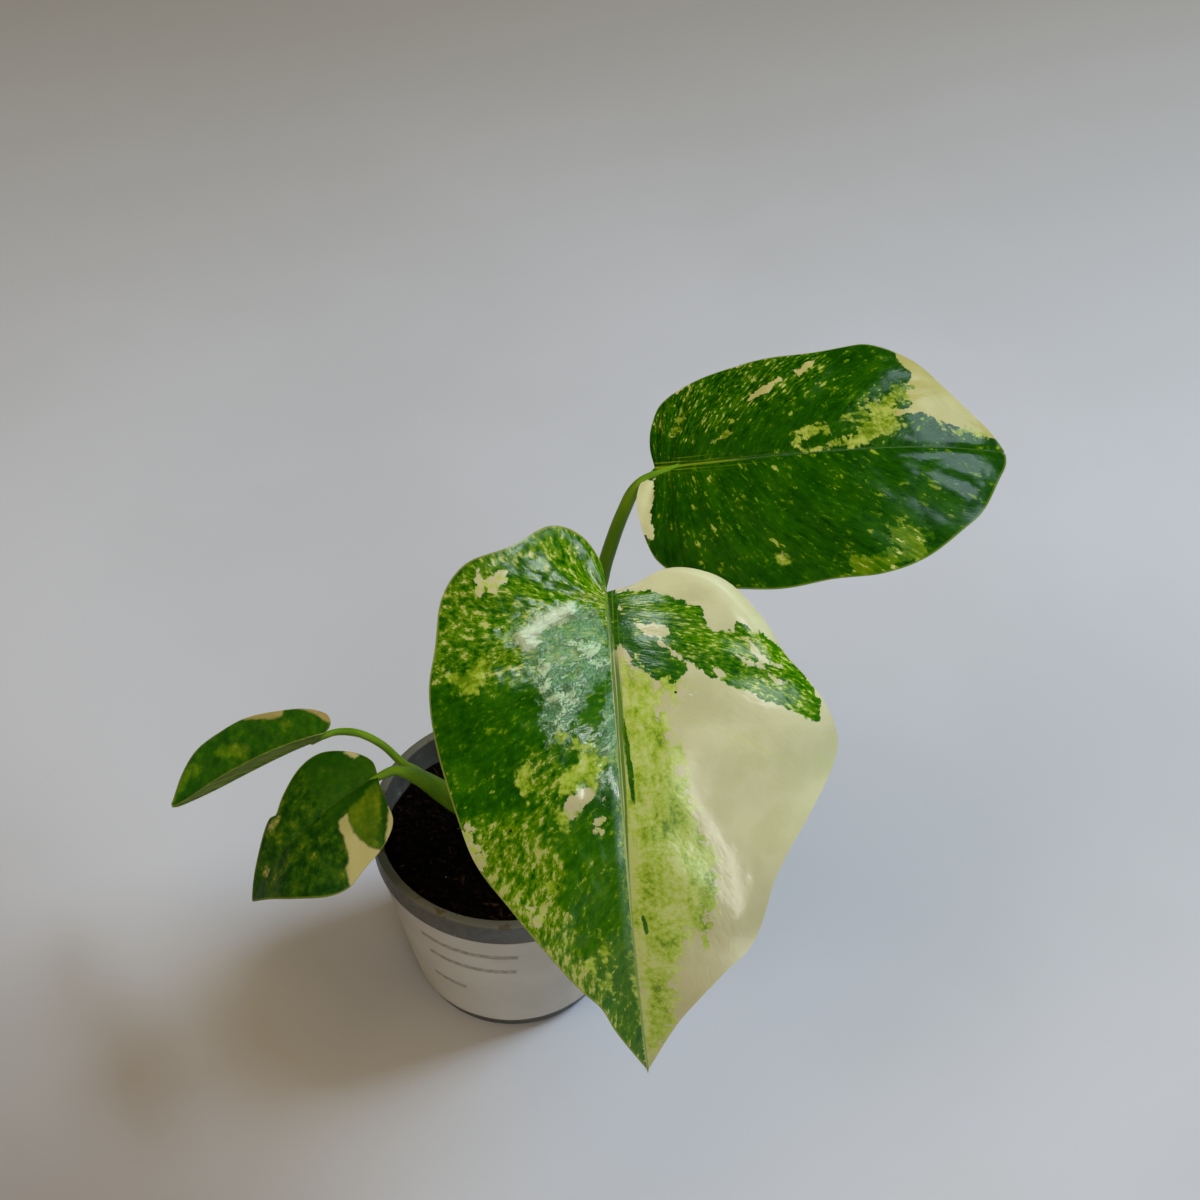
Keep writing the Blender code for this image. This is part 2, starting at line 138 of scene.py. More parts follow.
# Gentle ridges in a blade: the line that each follows, its height and its half width.
RIDGES = {
    "front": [
        ([(31, 12), (40, 16.5), (50, 20), (62, 21)], 0.26, 5.2),
        ([(-1, 17), (6, 24), (14, 30)], 0.5, 3.0),
        ([(7, -16), (4.5, -11.2), (3, -7.5)], 0.5, 1.3),
        ([(12.1, -12.3), (11.1, -8.5), (10, -4.9)], 0.35, 1.0),
        ([(17, -12), (16, -8), (14.5, -5)], 0.3, 1.1),
    ],
    "back": [([(50, -8), (60, -10), (68, -12)], 0.4, 4.0)],
    "low": [],
    "folded": [],
}

# Coloured areas of each upper side, in flat leaf places. A sign of 1 adds an area and a sign of
# -1 cuts it out of what came before.
AREA_KINDS = ("cream", "blotch", "lime", "fleck", "deep", "veil", "sliver", "crinkle", "fold")
OUTSIDE = -60.0

RIGHT_HALF = [(-12, -0.2), (-12, 50), (102, 50), (102, -0.2)]
FRONT_GREEN_BAND = [
    (0.5, 1), (0, 4), (0.5, 8), (1.5, 11), (3, 14), (4, 17), (6, 17), (8.5, 19), (8.5, 22.5), (7, 23.5),
    (9.5, 28), (12.5, 32), (16.5, 35.5), (20.5, 38), (25, 39.5), (27.5, 38.5), (26, 35.5), (23, 30),
    (19, 21.5), (16.5, 17.5), (13.5, 13.5), (10, 9.5), (7, 5.5), (4, 2.5),
]
FRONT_GREEN_LOBE = [
    (1, 0.5), (4, 2.5), (6.5, 5), (9, 7.5), (11.5, 10.5), (13.5, 13.2), (15.5, 13.5), (17.5, 11.5),
    (17.5, 9.5), (16, 7), (13.5, 4), (10, 2.3), (6, 1),
]
FRONT_STRIP = [
    (13, 1.6), (14.5, 5), (17.5, 8), (19.5, 8.5), (21.5, 7.5), (26, 9.5), (31, 11.5), (35, 12),
    (43, 13.5), (49, 16), (58, 16), (64.5, 15), (68.5, 13.5), (65, 12), (68.5, 10), (73, 8.5),
    (77, 7.5), (85.5, 6), (90, 4), (93, 2), (96, 0), (86, -0.6), (40, -0.6), (20, 0.4),
]
FRONT_WEDGE_CORE = [
    (35.8, -7.3), (35.6, -5.9), (36.3, -4.8), (37.5, -5), (41, -8.6), (42.4, -9.5), (39.9, -10.8),
    (38.1, -10.9), (37, -10), (36.9, -8.5),
]
FRONT_PALE_WEDGE = [
    (25.7, -8.3), (27, -6.1), (27.1, -3.8), (27.8, -3.1), (30.6, -4.1), (28.8, -1.9), (26.6, -0.6),
    (30.9, -1.1), (33.8, -3.4), (36.9, -4.8), (41, -8.6), (44.9, -10.9), (42.5, -11.7), (41.8, -12.8),
    (38.3, -12.2), (35.5, -11.8), (33, -10.5), (31.8, -10.4), (30.3, -8), (28.9, -7.2),
]

FRONT_AREAS = {
    "cream": [
        (1, RIGHT_HALF),
        (-1, FRONT_GREEN_BAND),
        (-1, FRONT_GREEN_LOBE),
        (-1, [(-12, -1), (11, -1), (11, 0.3), (9.5, 2), (4, 1.8), (-1, 1.4), (-12, 2)]),
        (1, [(6.5, 5), (6.5, 8), (7, 10.5), (8.5, 11.5), (9.5, 9.5), (9, 7.5)]),
        (1, [(15, 17.5), (15, 19), (17, 20.5), (16.5, 19)]),
        (1, [(13, 22.5), (14.5, 25.5), (15.5, 28), (16, 28), (15.5, 25)]),
        (1, [(10, 25), (11.5, 26), (14, 28), (16, 32), (16.5, 31.5), (15, 27.5), (12.5, 25.5)]),
        (1, [(17, 28.5), (18.5, 29.5), (19.5, 30.5), (19, 33), (18.5, 30.5)]),
        (1, FRONT_WEDGE_CORE),
    ],
    "blotch": [
        (1, [(-2, -24), (-5, -23.5), (-5.5, -19), (-3.5, -18), (-2, -21.5)]),
        (1, [(43.5, -30.5), (42.5, -28), (45, -26.8), (48.5, -26.8), (52.5, -26.3), (50, -29)]),
        (1, [(61.5, -19.5), (58.5, -18.5), (58, -15.5), (62, -17)]),
        (1, [(6, -13.5), (4, -10), (2.5, -6.5), (4, -7), (5.5, -10), (7, -13)]),
        (1, [(39.7, -3.3), (40.4, -2.5), (42.6, -3.5), (44.2, -4.4), (43.7, -4.8), (41.7, -4)]),
    ],
    "lime": [
        (1, FRONT_STRIP),
        (1, FRONT_PALE_WEDGE),
        (-1, FRONT_WEDGE_CORE),
        (1, [(17.5, 8), (17, 11.5), (18.5, 13.5), (20, 12.5), (21, 11), (19.5, 8.5)]),
        (1, [(13.5, -31), (13, -27.5), (11, -24), (12.5, -23), (17.5, -24.5), (17, -27.5)]),
        (1, [
            (30, -17.1), (30.3, -16), (31.5, -15.8), (32.9, -16.5), (35.2, -16.5), (39.2, -17.6),
            (37.1, -18.6), (34.1, -19.8), (31, -18.8),
        ]),
        (1, [(23.8, -10.7), (25, -10.2), (25.6, -9.1), (26.9, -10.9), (27.1, -12.3), (26, -12)]),
        (1, [(12, -13), (10.5, -10), (10, -5.5), (11.5, -4.5), (12, -7.5), (13, -10.5)]),
        (1, [(6.5, -21.5), (8, -19), (10, -15.5), (11.5, -13), (6, -14), (5.5, -16.5)]),
        (1, [(53.5, -15.5), (53.5, -13), (56.5, -13), (56, -15)]),
        (1, [(64, -6), (67, -5), (79.5, -4.5), (79, -5.5), (68, -6.5)]),
        (1, [(70.5, -9.5), (69.5, -8), (73.5, -7), (76.5, -7), (74, -8.5)]),
        (1, [(23, -17.5), (23, -15.5), (24.5, -16.5)]),
    ],
    "fleck": [
        (1, [
            (14.5, -36), (15, -29), (17, -27.5), (17.5, -21.5), (14.5, -15.5), (13, -10), (16, -4),
            (8, -1), (0, 0), (-6, 2), (-16, -8), (-12, -22), (-6, -36),
        ]),
        (1, [
            (42.5, -31), (40, -22), (41.5, -15.5), (46, -12), (58, -12.5), (72, -9), (88, -3), (86, -9),
            (70, -20), (52, -31),
        ]),
        (1, [(28, -17), (27, -8), (41, -13), (42, -17)]),
        (1, FRONT_GREEN_BAND),
    ],
    "deep": [
        (1, [(17, -30), (18.5, -22), (17, -15), (22, -9), (30, -12), (40, -20), (40, -31), (28, -34)]),
        (1, [(33, -1), (38, -5), (44.5, -10.5), (57, -13), (62.5, -9), (52, -1.5)]),
        (1, FRONT_GREEN_LOBE),
    ],
    "sliver": [
        (1, [(21, 1.2), (26.7, 2.1), (34, 2.6), (39.5, 2.5), (39.5, 1.9), (31.5, 1.4), (24.8, 1.2)]),
        (1, [(61.3, 1.9), (61.9, 2.7), (65.2, 3.1), (66.1, 2.5)]),
    ],
    "crinkle": [
        (1, [
            (6.3, -21.3), (3.8, -13.4), (1.8, -9.6), (2.2, -4.4), (4, -1.9), (7.6, -0.5), (14.6, -0.1),
            (18.6, -5.5), (23.4, -7.7), (26.7, -12.4), (23.7, -13.4), (17.2, -13.2), (13.3, -14),
            (9.8, -16.7),
        ]),
        (1, [(17.1, 0), (29, 0), (31.1, -1.8), (30.5, -3.8), (24.5, -2.6), (19.6, -1.4)]),
    ],
    # The fold: where a painted highlight runs along a fold of the crumpled skin.
    "fold": [(1, [
        (8.2, -16.6), (5.7, -14.6), (3.4, -10.4), (2.2, -7), (2.9, -6.7), (5, -9.8), (6.6, -12.8),
        (9.7, -14.9),
    ])],
}
BACK_AREAS = {
    "cream": [
        (1, [
            (58.5, 29), (59.5, 20.5), (60.5, 19), (59, 16.5), (56, 14), (56.5, 12), (58, 10.5),
            (55.5, 9.5), (49.5, 9), (46.5, 8.5), (53.5, 7.5), (59.5, 8.5), (64.5, 6), (70, 4), (79, 3),
            (78, 12), (66, 28),
        ]),
        (1, [(20, 13.5), (23.5, 16.5), (29.5, 19.5), (30, 19), (26, 15.5), (23, 14.5)]),
        (1, [(33, 20.5), (36.5, 23), (40, 24.5), (37, 21.5), (34, 19.5)]),
        (1, [(10, 22.5), (16, 23.8), (20.5, 23.8), (20, 25), (12, 24), (5, 20), (5, 17.5)]),
        (1, [(0, -3), (-5, -3), (-5, -14), (0, -17.5), (0, -14.5), (-0.8, -11.5), (0, -8)]),
    ],
    "lime": [
        (1, [
            (30.7, 0.2), (37.3, 0.4), (42, 0.8), (47.4, 1.7), (49, 2.6), (52, 3.9), (54.9, 4.4),
            (54.5, 5.4), (52.2, 7.1), (52.6, 9), (45.6, 9.7), (41.9, 9.4), (39.6, 7.7), (42, 6.8),
            (46.3, 7.3), (46.3, 6.4), (44.1, 4.5), (41.2, 3.7), (35.4, 1.8),
        ]),
        (1, [(35, 6.3), (35.4, 5.1), (32.9, 3.6), (30.1, 2.2), (27.3, 2), (29.3, 3.7), (31.8, 5.4)]),
        (1, [(44, 9.5), (48, 11.5), (53, 13), (57, 15.5), (59, 15), (57, 12), (50, 9.5)]),
        (1, [(3.5, 7), (6.5, 11.5), (7.5, 12.5), (6, 10), (4, 6.5)]),
        (1, [(13.5, 5), (15, 7), (16.5, 8.5), (16, 6.5), (14, 4.5)]),
        (1, [(63, 6), (72, 4.5), (74, 3.5), (66, 3)]),
        (1, [(20, -23), (21, -22), (24, -24.5), (23.5, -25), (21.5, -24.5)]),
    ],
    "veil": [(1, [
        (42.4, -18.4), (46.1, -17.4), (49.7, -18.8), (52.8, -22.6), (50.5, -25.2), (43.2, -27.5),
        (37.9, -29.8), (31, -29.8), (33.2, -26.5), (34.5, -24), (40.1, -24.8), (43.3, -22.9),
        (41.8, -20.8),
    ])],
    "fleck": [
        (1, [(40, 8), (44, 14), (52, 14), (58, 13), (56, 9), (48, 8)]),
        (1, [(-4, 8), (10, 6), (40, 18), (44, 30), (6, 26)]),
    ],
}
LOW_AREAS = {
    "cream": [
        (1, [
            (12.5, 5.4), (13.1, 7.1), (13.3, 9.8), (14.1, 12.6), (15.3, 14.9), (16.8, 15.6), (19, 21),
            (8, 20), (8.5, 17), (9.6, 15.8), (10.5, 13), (11, 10), (10.5, 7), (9.7, 4.8),
        ]),
        (1, [(3.5, -10), (2, -9), (1, -7), (2.5, -6.5)]),
        (1, [(1, 8), (2, 13), (5, 17), (8, 19), (6, 16), (3.4, 12.5)]),
    ],
    "veil": [(1, [
        (11, 4.4), (6, 3.2), (1, 1.2), (1, 6), (4, 10), (6, 13), (8, 17), (11, 16), (11.5, 10),
    ])],
    "blotch": [
        (1, [(27.5, -7), (25.5, -8.3), (23, -7), (25, -6.2), (27.5, -5.7)]),
        (1, [(35, -0.5), (33, -1.5), (32.5, 0.3), (34, 1.5)]),
    ],
    "fleck": [(1, [(14, -12), (14, 20), (45, 20), (45, -12)])],
}
FOLDED_AREAS = {
    "cream": [
        (1, [(21, -14), (14, -12.5), (7.5, -10.5), (8.5, -8.5), (11, -8.5), (14.5, -10), (19.5, -12)]),
        (1, [(5.5, -9.5), (0.5, -8), (-4, -5.5), (-4.5, -2.5), (-3, -3), (0.5, -6.2)]),
    ],
    "veil": [
        (1, [(32, -8.2), (28.5, -9), (22, -7.5), (19, -4.5), (21, -3.2), (28.5, -5.6)]),
        (1, [(10, -7), (7, -7), (6, -5), (9, -5)]),
        (1, [(46, -1), (43.5, -5), (40.5, -7.5), (37, -8), (34.5, -6), (38.5, -4.4), (42, -2.5)]),
        (1, [(-10, 0.5), (-10, 20), (60, 20), (60, 0.5)]),
    ],
}
AREAS = {"front": FRONT_AREAS, "back": BACK_AREAS, "low": LOW_AREAS, "folded": FOLDED_AREAS}


def shade(red, green, blue):
    """The linear colour of a shade given in the usual 0 to 255 steps."""
    steps = [value / 255 for value in (red, green, blue)]
    return tuple(v / 12.92 if v <= 0.04045 else ((v + 0.055) / 1.055) ** 2.4 for v in steps)


# Ramps of a leaf's greens, from its deepest to its palest, and of its lime parts.
BRIGHT_GREENS = [
    (0.0, shade(12, 56, 0)), (0.2, shade(23, 76, 0)), (0.35, shade(36, 93, 0)), (0.5, shade(55, 109, 0)),
    (0.62, shade(76, 122, 1)), (0.75, shade(98, 138, 6)), (0.86, shade(124, 155, 30)),
    (1.0, shade(174, 184, 104)),
]
DEEP_GREENS = [
    (0.0, shade(10, 46, 0)), (0.2, shade(20, 62, 0)), (0.35, shade(33, 75, 0)), (0.5, shade(52, 89, 1)),
    (0.62, shade(74, 102, 2)), (0.75, shade(98, 118, 8)), (0.86, shade(120, 134, 28)),
    (1.0, shade(162, 164, 88)),
]
LIMES = [
    (0.0, shade(92, 132, 6)), (0.25, shade(136, 168, 34)), (0.5, shade(160, 187, 64)),
    (0.75, shade(174, 196, 88)), (1.0, shade(188, 203, 124)),
]
OLIVES = [
    (0.0, shade(62, 92, 2)), (0.3, shade(88, 110, 8)), (0.6, shade(114, 130, 26)),
    (1.0, shade(150, 156, 66)),
]

# How each leaf is marbled. The levels are its place on the ramp of greens outside and inside its
# flecked areas and how much its veiled areas add, the bars are the height of marbling that makes
# a fleck there, and the swings are the strength of fine marbling and of streaks along the veins.
SMALL_LEAF = dict(
    limes=OLIVES, bars=(0.66, 0.66), drift=False, grain=(0.5, 0.5, 1.0), fleck_top=0.14, specks=0.0,
    soft=0.4, blotch_top=0.7, froth=2.0, midrib=shade(66, 98, 14), core=(-20.0, 0.2),
    line_tint=shade(66, 98, 14), lines_end=0.2, gloss=(0.5, 0.6), dull_right=0.0, tip_lift=0.0,
    left_tone=0.0,
)
LARGE_LEAF = dict(drift=True, ragged=1.0, soft=0.08, blotch_top=1.0, shine=0.5)
LOOKS = {
    "front": dict(
        LARGE_LEAF, greens=BRIGHT_GREENS, limes=LIMES, levels=(0.37, 0.61, 0.0), bars=(0.585, 0.575),
        swings=(1.25, 0.7), grain=(1.0, 0.62, 1.0), fleck_top=0.26, specks=0.16, froth=12.0,
        cream=shade(192, 191, 150), cream_shade=shade(184, 184, 140), cream_base=shade(190, 190, 148),
        midrib=shade(150, 180, 116), core=(30.0, 150.0), line_tint=shade(118, 150, 40), lines_end=40.0,
        rim=shade(140, 152, 70), gloss=(0.11, 0.17), dull_right=0.1, tip_lift=0.13, left_tone=-0.3,
    ),
    "back": dict(
        LARGE_LEAF, greens=DEEP_GREENS, limes=OLIVES, levels=(0.21, 0.36, 0.42), bars=(0.6, 0.575),
        swings=(0.9, 0.9), grain=(1.2, 0.55, 1.0), fleck_top=0.36, specks=0.3, froth=5.0,
        cream=shade(164, 156, 94), cream_shade=shade(156, 148, 84), cream_base=shade(190, 190, 142),
        midrib=shade(126, 142, 20), core=(-20.0, 20.0), line_tint=shade(118, 136, 20), lines_end=26.0,
        rim=shade(96, 116, 30), gloss=(0.14, 0.22), dull_right=0.0, tip_lift=0.0, left_tone=0.0,
    ),
    "low": dict(
        SMALL_LEAF, greens=DEEP_GREENS, levels=(0.32, 0.36, 0.34), swings=(0.75, 0.2), ragged=0.35,
        cream=shade(178, 174, 118), cream_shade=shade(170, 166, 106), cream_base=shade(170, 166, 112),
        rim=shade(110, 124, 40), shine=0.2,
    ),
    "folded": dict(
        SMALL_LEAF, greens=BRIGHT_GREENS, levels=(0.38, 0.36, 0.3), swings=(1.2, 0.2), ragged=0.3,
        cream=shade(178, 172, 110), cream_shade=shade(170, 166, 100), cream_base=shade(176, 164, 104),
        rim=shade(106, 120, 44), shine=0.25,
    ),
}
LEAF_BELOW = (shade(90, 112, 14), shade(136, 148, 70))
SPECK_BROWN = (0.03, 0.015, 0.008)
MIDRIB_LINES = (shade(66, 114, 20), shade(178, 198, 140))
# Painted light on the front leaf: a painted sheen beside the midrib, a faint painted sheen and bright
# painted glints on the crumpled skin, painted shade in its creases and a painted highlight along a fold.
MIDRIB_SHEEN = shade(98, 146, 108)
PAINTED_SHEEN_FAINT = shade(112, 156, 122)
PAINTED_GLINT = shade(182, 208, 168)
PAINTED_CREASE_SHADE = shade(44, 90, 30)
PAINTED_FOLD_HIGHLIGHT = (shade(160, 196, 152), shade(226, 234, 214))

# Stalks: points from inside the stem to the blade, where each joins it, and its radii.
STALKS = {
    "front": {
        "through": [
            (2.7, -4, 57), (3.8, -5.6, 66), (7.2, -7.5, 85), (12.2, -11, 110), (17.7, -16, 131),
            (21, -22, 143),
        ],
        "joins": (1.5, 0.6),
        "radii": [2.3, 2.1, 1.9, 1.75, 1.7, 1.75, 1.6],
    },
    "back": {
        "through": [
            (4.2, -1.7, 54), (6.4, 0.8, 62), (10.2, 2.8, 80), (16, 4.4, 100), (20.8, 6, 118),
            (22.7, 7.6, 126.9), (26, 10.2, 137.2), (29.6, 12.4, 143.4),
        ],
        "joins": (5, 0.2),
        "radii": [2.0, 1.7, 1.45, 1.4, 1.45, 1.5, 1.5, 1.35, 0.6],
    },
    "low": {
        "through": [
            (1.7, -3.5, 49.5), (-4.8, -1, 51.5), (-11.8, 0.4, 56.3), (-17.1, -1.1, 64.4),
            (-20.1, -3, 69.6), (-22.5, -4.9, 73.2), (-25, -6, 74.6),
        ],
        "joins": (2.5, 0.6),
        "radii": [2.9, 2.9, 2.7, 2.45, 1.9, 1.2, 0.7],
    },
    "folded": {
        "through": [
            (0.7, -0.5, 45.5), (-8.8, 4, 48.5), (-15.8, 4, 56.8), (-20.2, 3.2, 63.4), (-23.5, 2.8, 67),
            (-28, 5.4, 70.2), (-33, 6.9, 72.4), (-37.8, 7.2, 72.8), (-41.2, 6.4, 72.2),
        ],
        "joins": (2.5, 0.6),
        "radii": [1.6, 1.5, 1.3, 1.05, 0.9, 0.9, 0.6],
    },
}
STALK_RINGS = 90
STALK_SIDES = 28
STALK_GREENS = (shade(78, 120, 4), shade(104, 142, 16))
STALK_LINES = shade(122, 152, 44)

STEM_X = 2.7
STEM_Y = -3.5
STEM_PROFILE = [
    (36.0, 3.3), (39.0, 4.0), (45.0, 4.3), (49.0, 4.0), (53.0, 4.1), (57.5, 3.5), (60.0, 2.2),
]
STEM_RINGS = 60
STEM_SIDES = 36
STEM_GREENS = (shade(78, 116, 26), shade(122, 140, 58))
STEM_PATCHES = shade(112, 88, 52)

POT_HEIGHT = 52.0
RIM_RADIUS = 31.8
BAND_RADIUS = 31.6
BAND_DEPTH = 6.5
BODY_TOP_RADIUS = 30.7
BASE_RADIUS = 23.6
WALL = 1.1
FLOOR = 1.6
FLOOR_DISC = 7.0
POT_SIDES = 144
DRAIN_HOLES = 6
DRAIN_CIRCLE = 16.4
DRAIN_RADIUS = 2.4
DRAIN_START_DEG = 23.0
DRILL_DEPTH = 8.0
DRILL_SIDES = 40
POT_GREYS = (shade(66, 66, 60), shade(80, 80, 74))
POT_DUST = shade(150, 148, 140)
# A paler grey painted on the top of the lip as a highlight.
POT_LIP_HIGHLIGHT = shade(96, 96, 82)
POT_DIRT = shade(76, 60, 30)

LABEL_LOW = 4.5
LABEL_HIGH = 44.9
LABEL_GAP = 0.3
LABEL_RIPPLE = 0.08
LABEL_THICK = 0.22
LABEL_SEAM_DEG = 3.0
LABEL_COLUMNS = 240
LABEL_ROWS = 26
# Plain ruled lines on the wrap: height and the angles between which each runs, in degrees.
RULED_LINES = [(38.0, 229.0, 275.0), (30.8, 231.0, 274.0), (19.3, 229.0, 248.0)]
RULE_THICK = 1.9
RULE_INK = shade(112, 108, 88)
# Paper tints greyer than white paper: painted shade over the whole wrap.
PAPER_WITH_SHADE = (shade(192, 187, 177), shade(184, 179, 168))
PAPER_FIBRES = shade(176, 170, 158)

SOIL_TOP = 43.8
SOIL_GAP = 0.35
SOIL_RINGS = 90
SOIL_SIDES = 200
PEAT = (shade(4, 3, 2), shade(13, 9, 6))
PEAT_FIBRES = shade(52, 36, 22)
GRAIN_LIFT = 0.25
GRAIN_INSET = 1.6
GRAIN_TILT = 0.5
GRAIN_ROUGHNESS = (0.72, 1.2)
STEM_CLEARANCE = 4.6
# Loose grains: material, its dark and light, seed, count, sizes and how each is drawn out.
ROUND = ((0.7, 1.3), (0.7, 1.3), (0.5, 1.0))
LONG = ((1.5, 4.0), (0.4, 0.8), (0.25, 0.5))
GRAINS = {
    "soil_crumbs": ("crumb_peat", shade(4, 3, 2), shade(22, 15, 9), 3, 1500, (0.5, 1.7), ROUND),
    "soil_bark": ("crumb_bark", shade(18, 12, 8), shade(62, 42, 26), 5, 150, (0.6, 1.5), LONG),
    "soil_grit": ("crumb_pale", shade(120, 112, 100), shade(180, 174, 162), 7, 22, (0.35, 0.8), ROUND),
}

# The studio. A lamp looks at the plant from an azimuth (0 is behind, 90 right) and an elevation,
# at a distance in metres, then come its size, power, colour and roll. The first lamps light only
# the plain colour of surfaces and the others only their gloss.
SHEET_HALF = 6000.0
SHEET_GREYS = (shade(173, 173, 174), shade(177, 177, 179))
# Painted shade: the sheet darker and warmer toward its far edge, and a painted shadow at its near left.
SHEET_FAR_SHADE = shade(138, 131, 120)
SHEET_NEAR_SHADOW = shade(136, 128, 122)
COLOUR_LAMPS = {
    "window": (68, 46, 1.6, (0.55, 0.55), 32.5, (0.62, 0.78, 0.97), 0),
    "ceiling": (-150, 82, 2.0, (1.4, 1.4), 14.0, (1.0, 0.74, 0.4), 0),
    "room": (-125, 45, 1.8, (0.9, 0.9), 6.5, (1.0, 0.76, 0.5), 0),
    "front_window": (162, 27, 1.4, (0.42, 1.3), 4.6, (0.94, 0.98, 1.0), 0),
}
GLOSS_LAMPS = {
    "window_gloss": (57, 33, 1.6, (0.62, 0.5), 2.5, (0.7, 0.85, 1.0), 0),
    "high_gloss": (192, 51, 1.4, (0.34, 0.26), 2.2, (0.9, 1.0, 0.98), 0),
    "side_gloss": (128, 38, 1.4, (0.34, 0.32), 1.7, (0.95, 1.0, 0.98), 0),
    "low_gloss": (162.5, 12, 0.45, (0.036, 0.34), 0.56, (0.95, 1.0, 0.98), 28),
}
LAMP_TARGET = (0.02, -0.01, 0.08)
ROOM_LIGHT = (0.1, 0.085, 0.06)
WALL_SEEN = (0.5, 0.5, 0.49)
CAMERA_PLACE = (0.0213, -0.2761, 0.3983)
CAMERA_TILT_DEG = 45.0
CAMERA_LENS = 57.0
CAMERA_SENSOR = 36.0


# Colour and node helpers


class Value:
    """One output of a node, which adds a node for each sum, difference or product with it."""

    def __init__(self, paint, socket):
        self.paint = paint
        self.socket = socket

    def __add__(self, other):
        return self.paint.maths("ADD", self, other)

    def __sub__(self, other):
        return self.paint.maths("SUBTRACT", self, other)

    def __mul__(self, other):
        return self.paint.maths("MULTIPLY", self, other)

    def __abs__(self):
        return self.paint.maths("ABSOLUTE", self)


class Paint:
    """A material with one Principled shader, and short calls that add the nodes that feed it."""

    def __init__(self, name):
        self.material = bpy.data.materials.new(name)
        self.material.use_nodes = True
        self.tree = self.material.node_tree
        self.shader = self.tree.nodes["Principled BSDF"]

    def feed(self, socket, value):
        if isinstance(value, Value):
            self.tree.links.new(value.socket, socket)
        elif socket.type == "RGBA":
            socket.default_value = (*value, 1.0)
        else:
            socket.default_value = value

    def add(self, kind, feeds, output=0, **settings):
        """One output of a new node, once its settings are made and its sockets fed."""
        made = self.tree.nodes.new(kind)
        for key, setting in settings.items():
            setattr(made, key, setting)
        for key, value in feeds.items():
            self.feed(made.inputs[key], value)
        return Value(self, made.outputs[output])

    def value(self, name):
        return self.add("ShaderNodeAttribute", {}, "Fac", attribute_name=name)

    def vector(self, name):
        return self.add("ShaderNodeAttribute", {}, "Vector", attribute_name=name)

    def object_place(self):
        return self.add("ShaderNodeTexCoord", {}, "Object")

    def part(self, vector, axis):
        return self.add("ShaderNodeSeparateXYZ", {0: vector}, axis)

    def stretch(self, vector, scale):
        return self.add("ShaderNodeVectorMath", {0: vector, 1: scale}, operation="MULTIPLY")

    def noise(self, vector, scale, detail=2.0, rough=0.5, distort=0.0, drawn=None):
        if drawn:
            vector = self.stretch(vector, drawn)
        feeds = {"Scale": scale, "Detail": detail, "Roughness": rough, "Distortion": distort}
        return self.add("ShaderNodeTexNoise", {"Vector": vector, **feeds}, "Fac")

    def cells(self, vector, scale, feature="F1"):
        feeds = {"Vector": vector, "Scale": scale}
        return self.add("ShaderNodeTexVoronoi", feeds, "Distance", feature=feature)

    def maths(self, operation, first, second=0.0):
        return self.add("ShaderNodeMath", {0: first, 1: second}, operation=operation)

    def swing(self, value, width):
        """A noise value turned to a push either way, of half the width at the very most."""
        return value * width - 0.5 * width

    def blend(self, value, low, high, floor=0.0, top=1.0):
        """A smooth step of a value from low to high."""
        feeds = {"Value": value, "From Min": low, "From Max": high, "To Min": floor, "To Max": top}
        return self.add("ShaderNodeMapRange", feeds, interpolation_type="SMOOTHSTEP")

    def mix(self, share, first, second):
        """A colour between two, through the colour sockets of a mix node."""
        return self.add("ShaderNodeMix", {0: share, 6: first, 7: second}, 2, data_type="RGBA")

    def fade(self, first, second, *span, **limits):
        """A colour that turns from the first to the second over a smooth step of a value."""
        return self.mix(self.blend(*span, **limits), first, second)

    def ramp(self, value, stops):
        made = self.add("ShaderNodeValToRGB", {0: value})
        points = made.socket.node.color_ramp.elements
        while len(points) < len(stops):
            points.new(0.5)
        for point, (place, colour) in zip(points, stops):
            point.position = place
            point.color = (*colour, 1.0)
        return made

    def bump(self, height, depth):
        feeds = {"Strength": 1.0, "Distance": depth * MM, "Height": height}
        self.feed(self.shader.inputs["Normal"], self.add("ShaderNodeBump", feeds))

    def finish(self, colour, roughness, specular=0.5):
        self.feed(self.shader.inputs["Base Color"], colour)
        self.feed(self.shader.inputs["Roughness"], roughness)
        self.shader.inputs["Specular IOR Level"].default_value = specular
        return self.material


# Mesh helpers


def make_mesh(name, verts, faces):
    """A mesh from places in millimetres."""
    mesh = bpy.data.meshes.new(name)
    mesh.from_pydata((np.array(verts, dtype=float) * MM).tolist(), [], faces)
    return mesh


def add_piece(name, verts, faces, material, node, fields=None, smooth_deg=60.0):
    """A named piece from places in millimetres, which stands for a node of the frame."""
    mesh = make_mesh(name, verts, faces)
    for key, values in (fields or {}).items():
        values = np.array(values, dtype=float)
        kind, slot = ("FLOAT", "value") if values.ndim == 1 else ("FLOAT_VECTOR", "vector")
        mesh.attributes.new(key, kind, "POINT").data.foreach_set(slot, values.ravel())
    place_piece(name, mesh, material, node, smooth_deg)


def place_piece(name, mesh, material, node, smooth_deg):
    """Sets a mesh into the scene, smooth shaded, riding on the part's one body."""
    mesh.materials.clear()
    mesh.materials.append(material)
    mesh.shade_smooth()
    mesh.set_sharp_from_angle(angle=math.radians(smooth_deg))
    piece = link_object(name, mesh)
    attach(piece, "root")
    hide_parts(node)


def link_object(name, data):
    """A new object in the scene."""
    made = bpy.data.objects.new(name, data)
    bpy.context.scene.collection.objects.link(made)
    return made


def circle(radius, height, sides):
    """Points of a level circle round the pot's axis."""
    turns = [2 * math.pi * side / sides for side in range(sides)]
    return [(radius * math.cos(turn), radius * math.sin(turn), height) for turn in turns]


def ring_walls(rings, sides):
    """Faces between each ring of points and the next."""
    faces = []
    for low in range(0, (rings - 1) * sides, sides):
        high = low + sides
        for side in range(sides):
            after = (side + 1) % sides
            faces.append((low + side, low + after, high + after, high + side))
    return faces


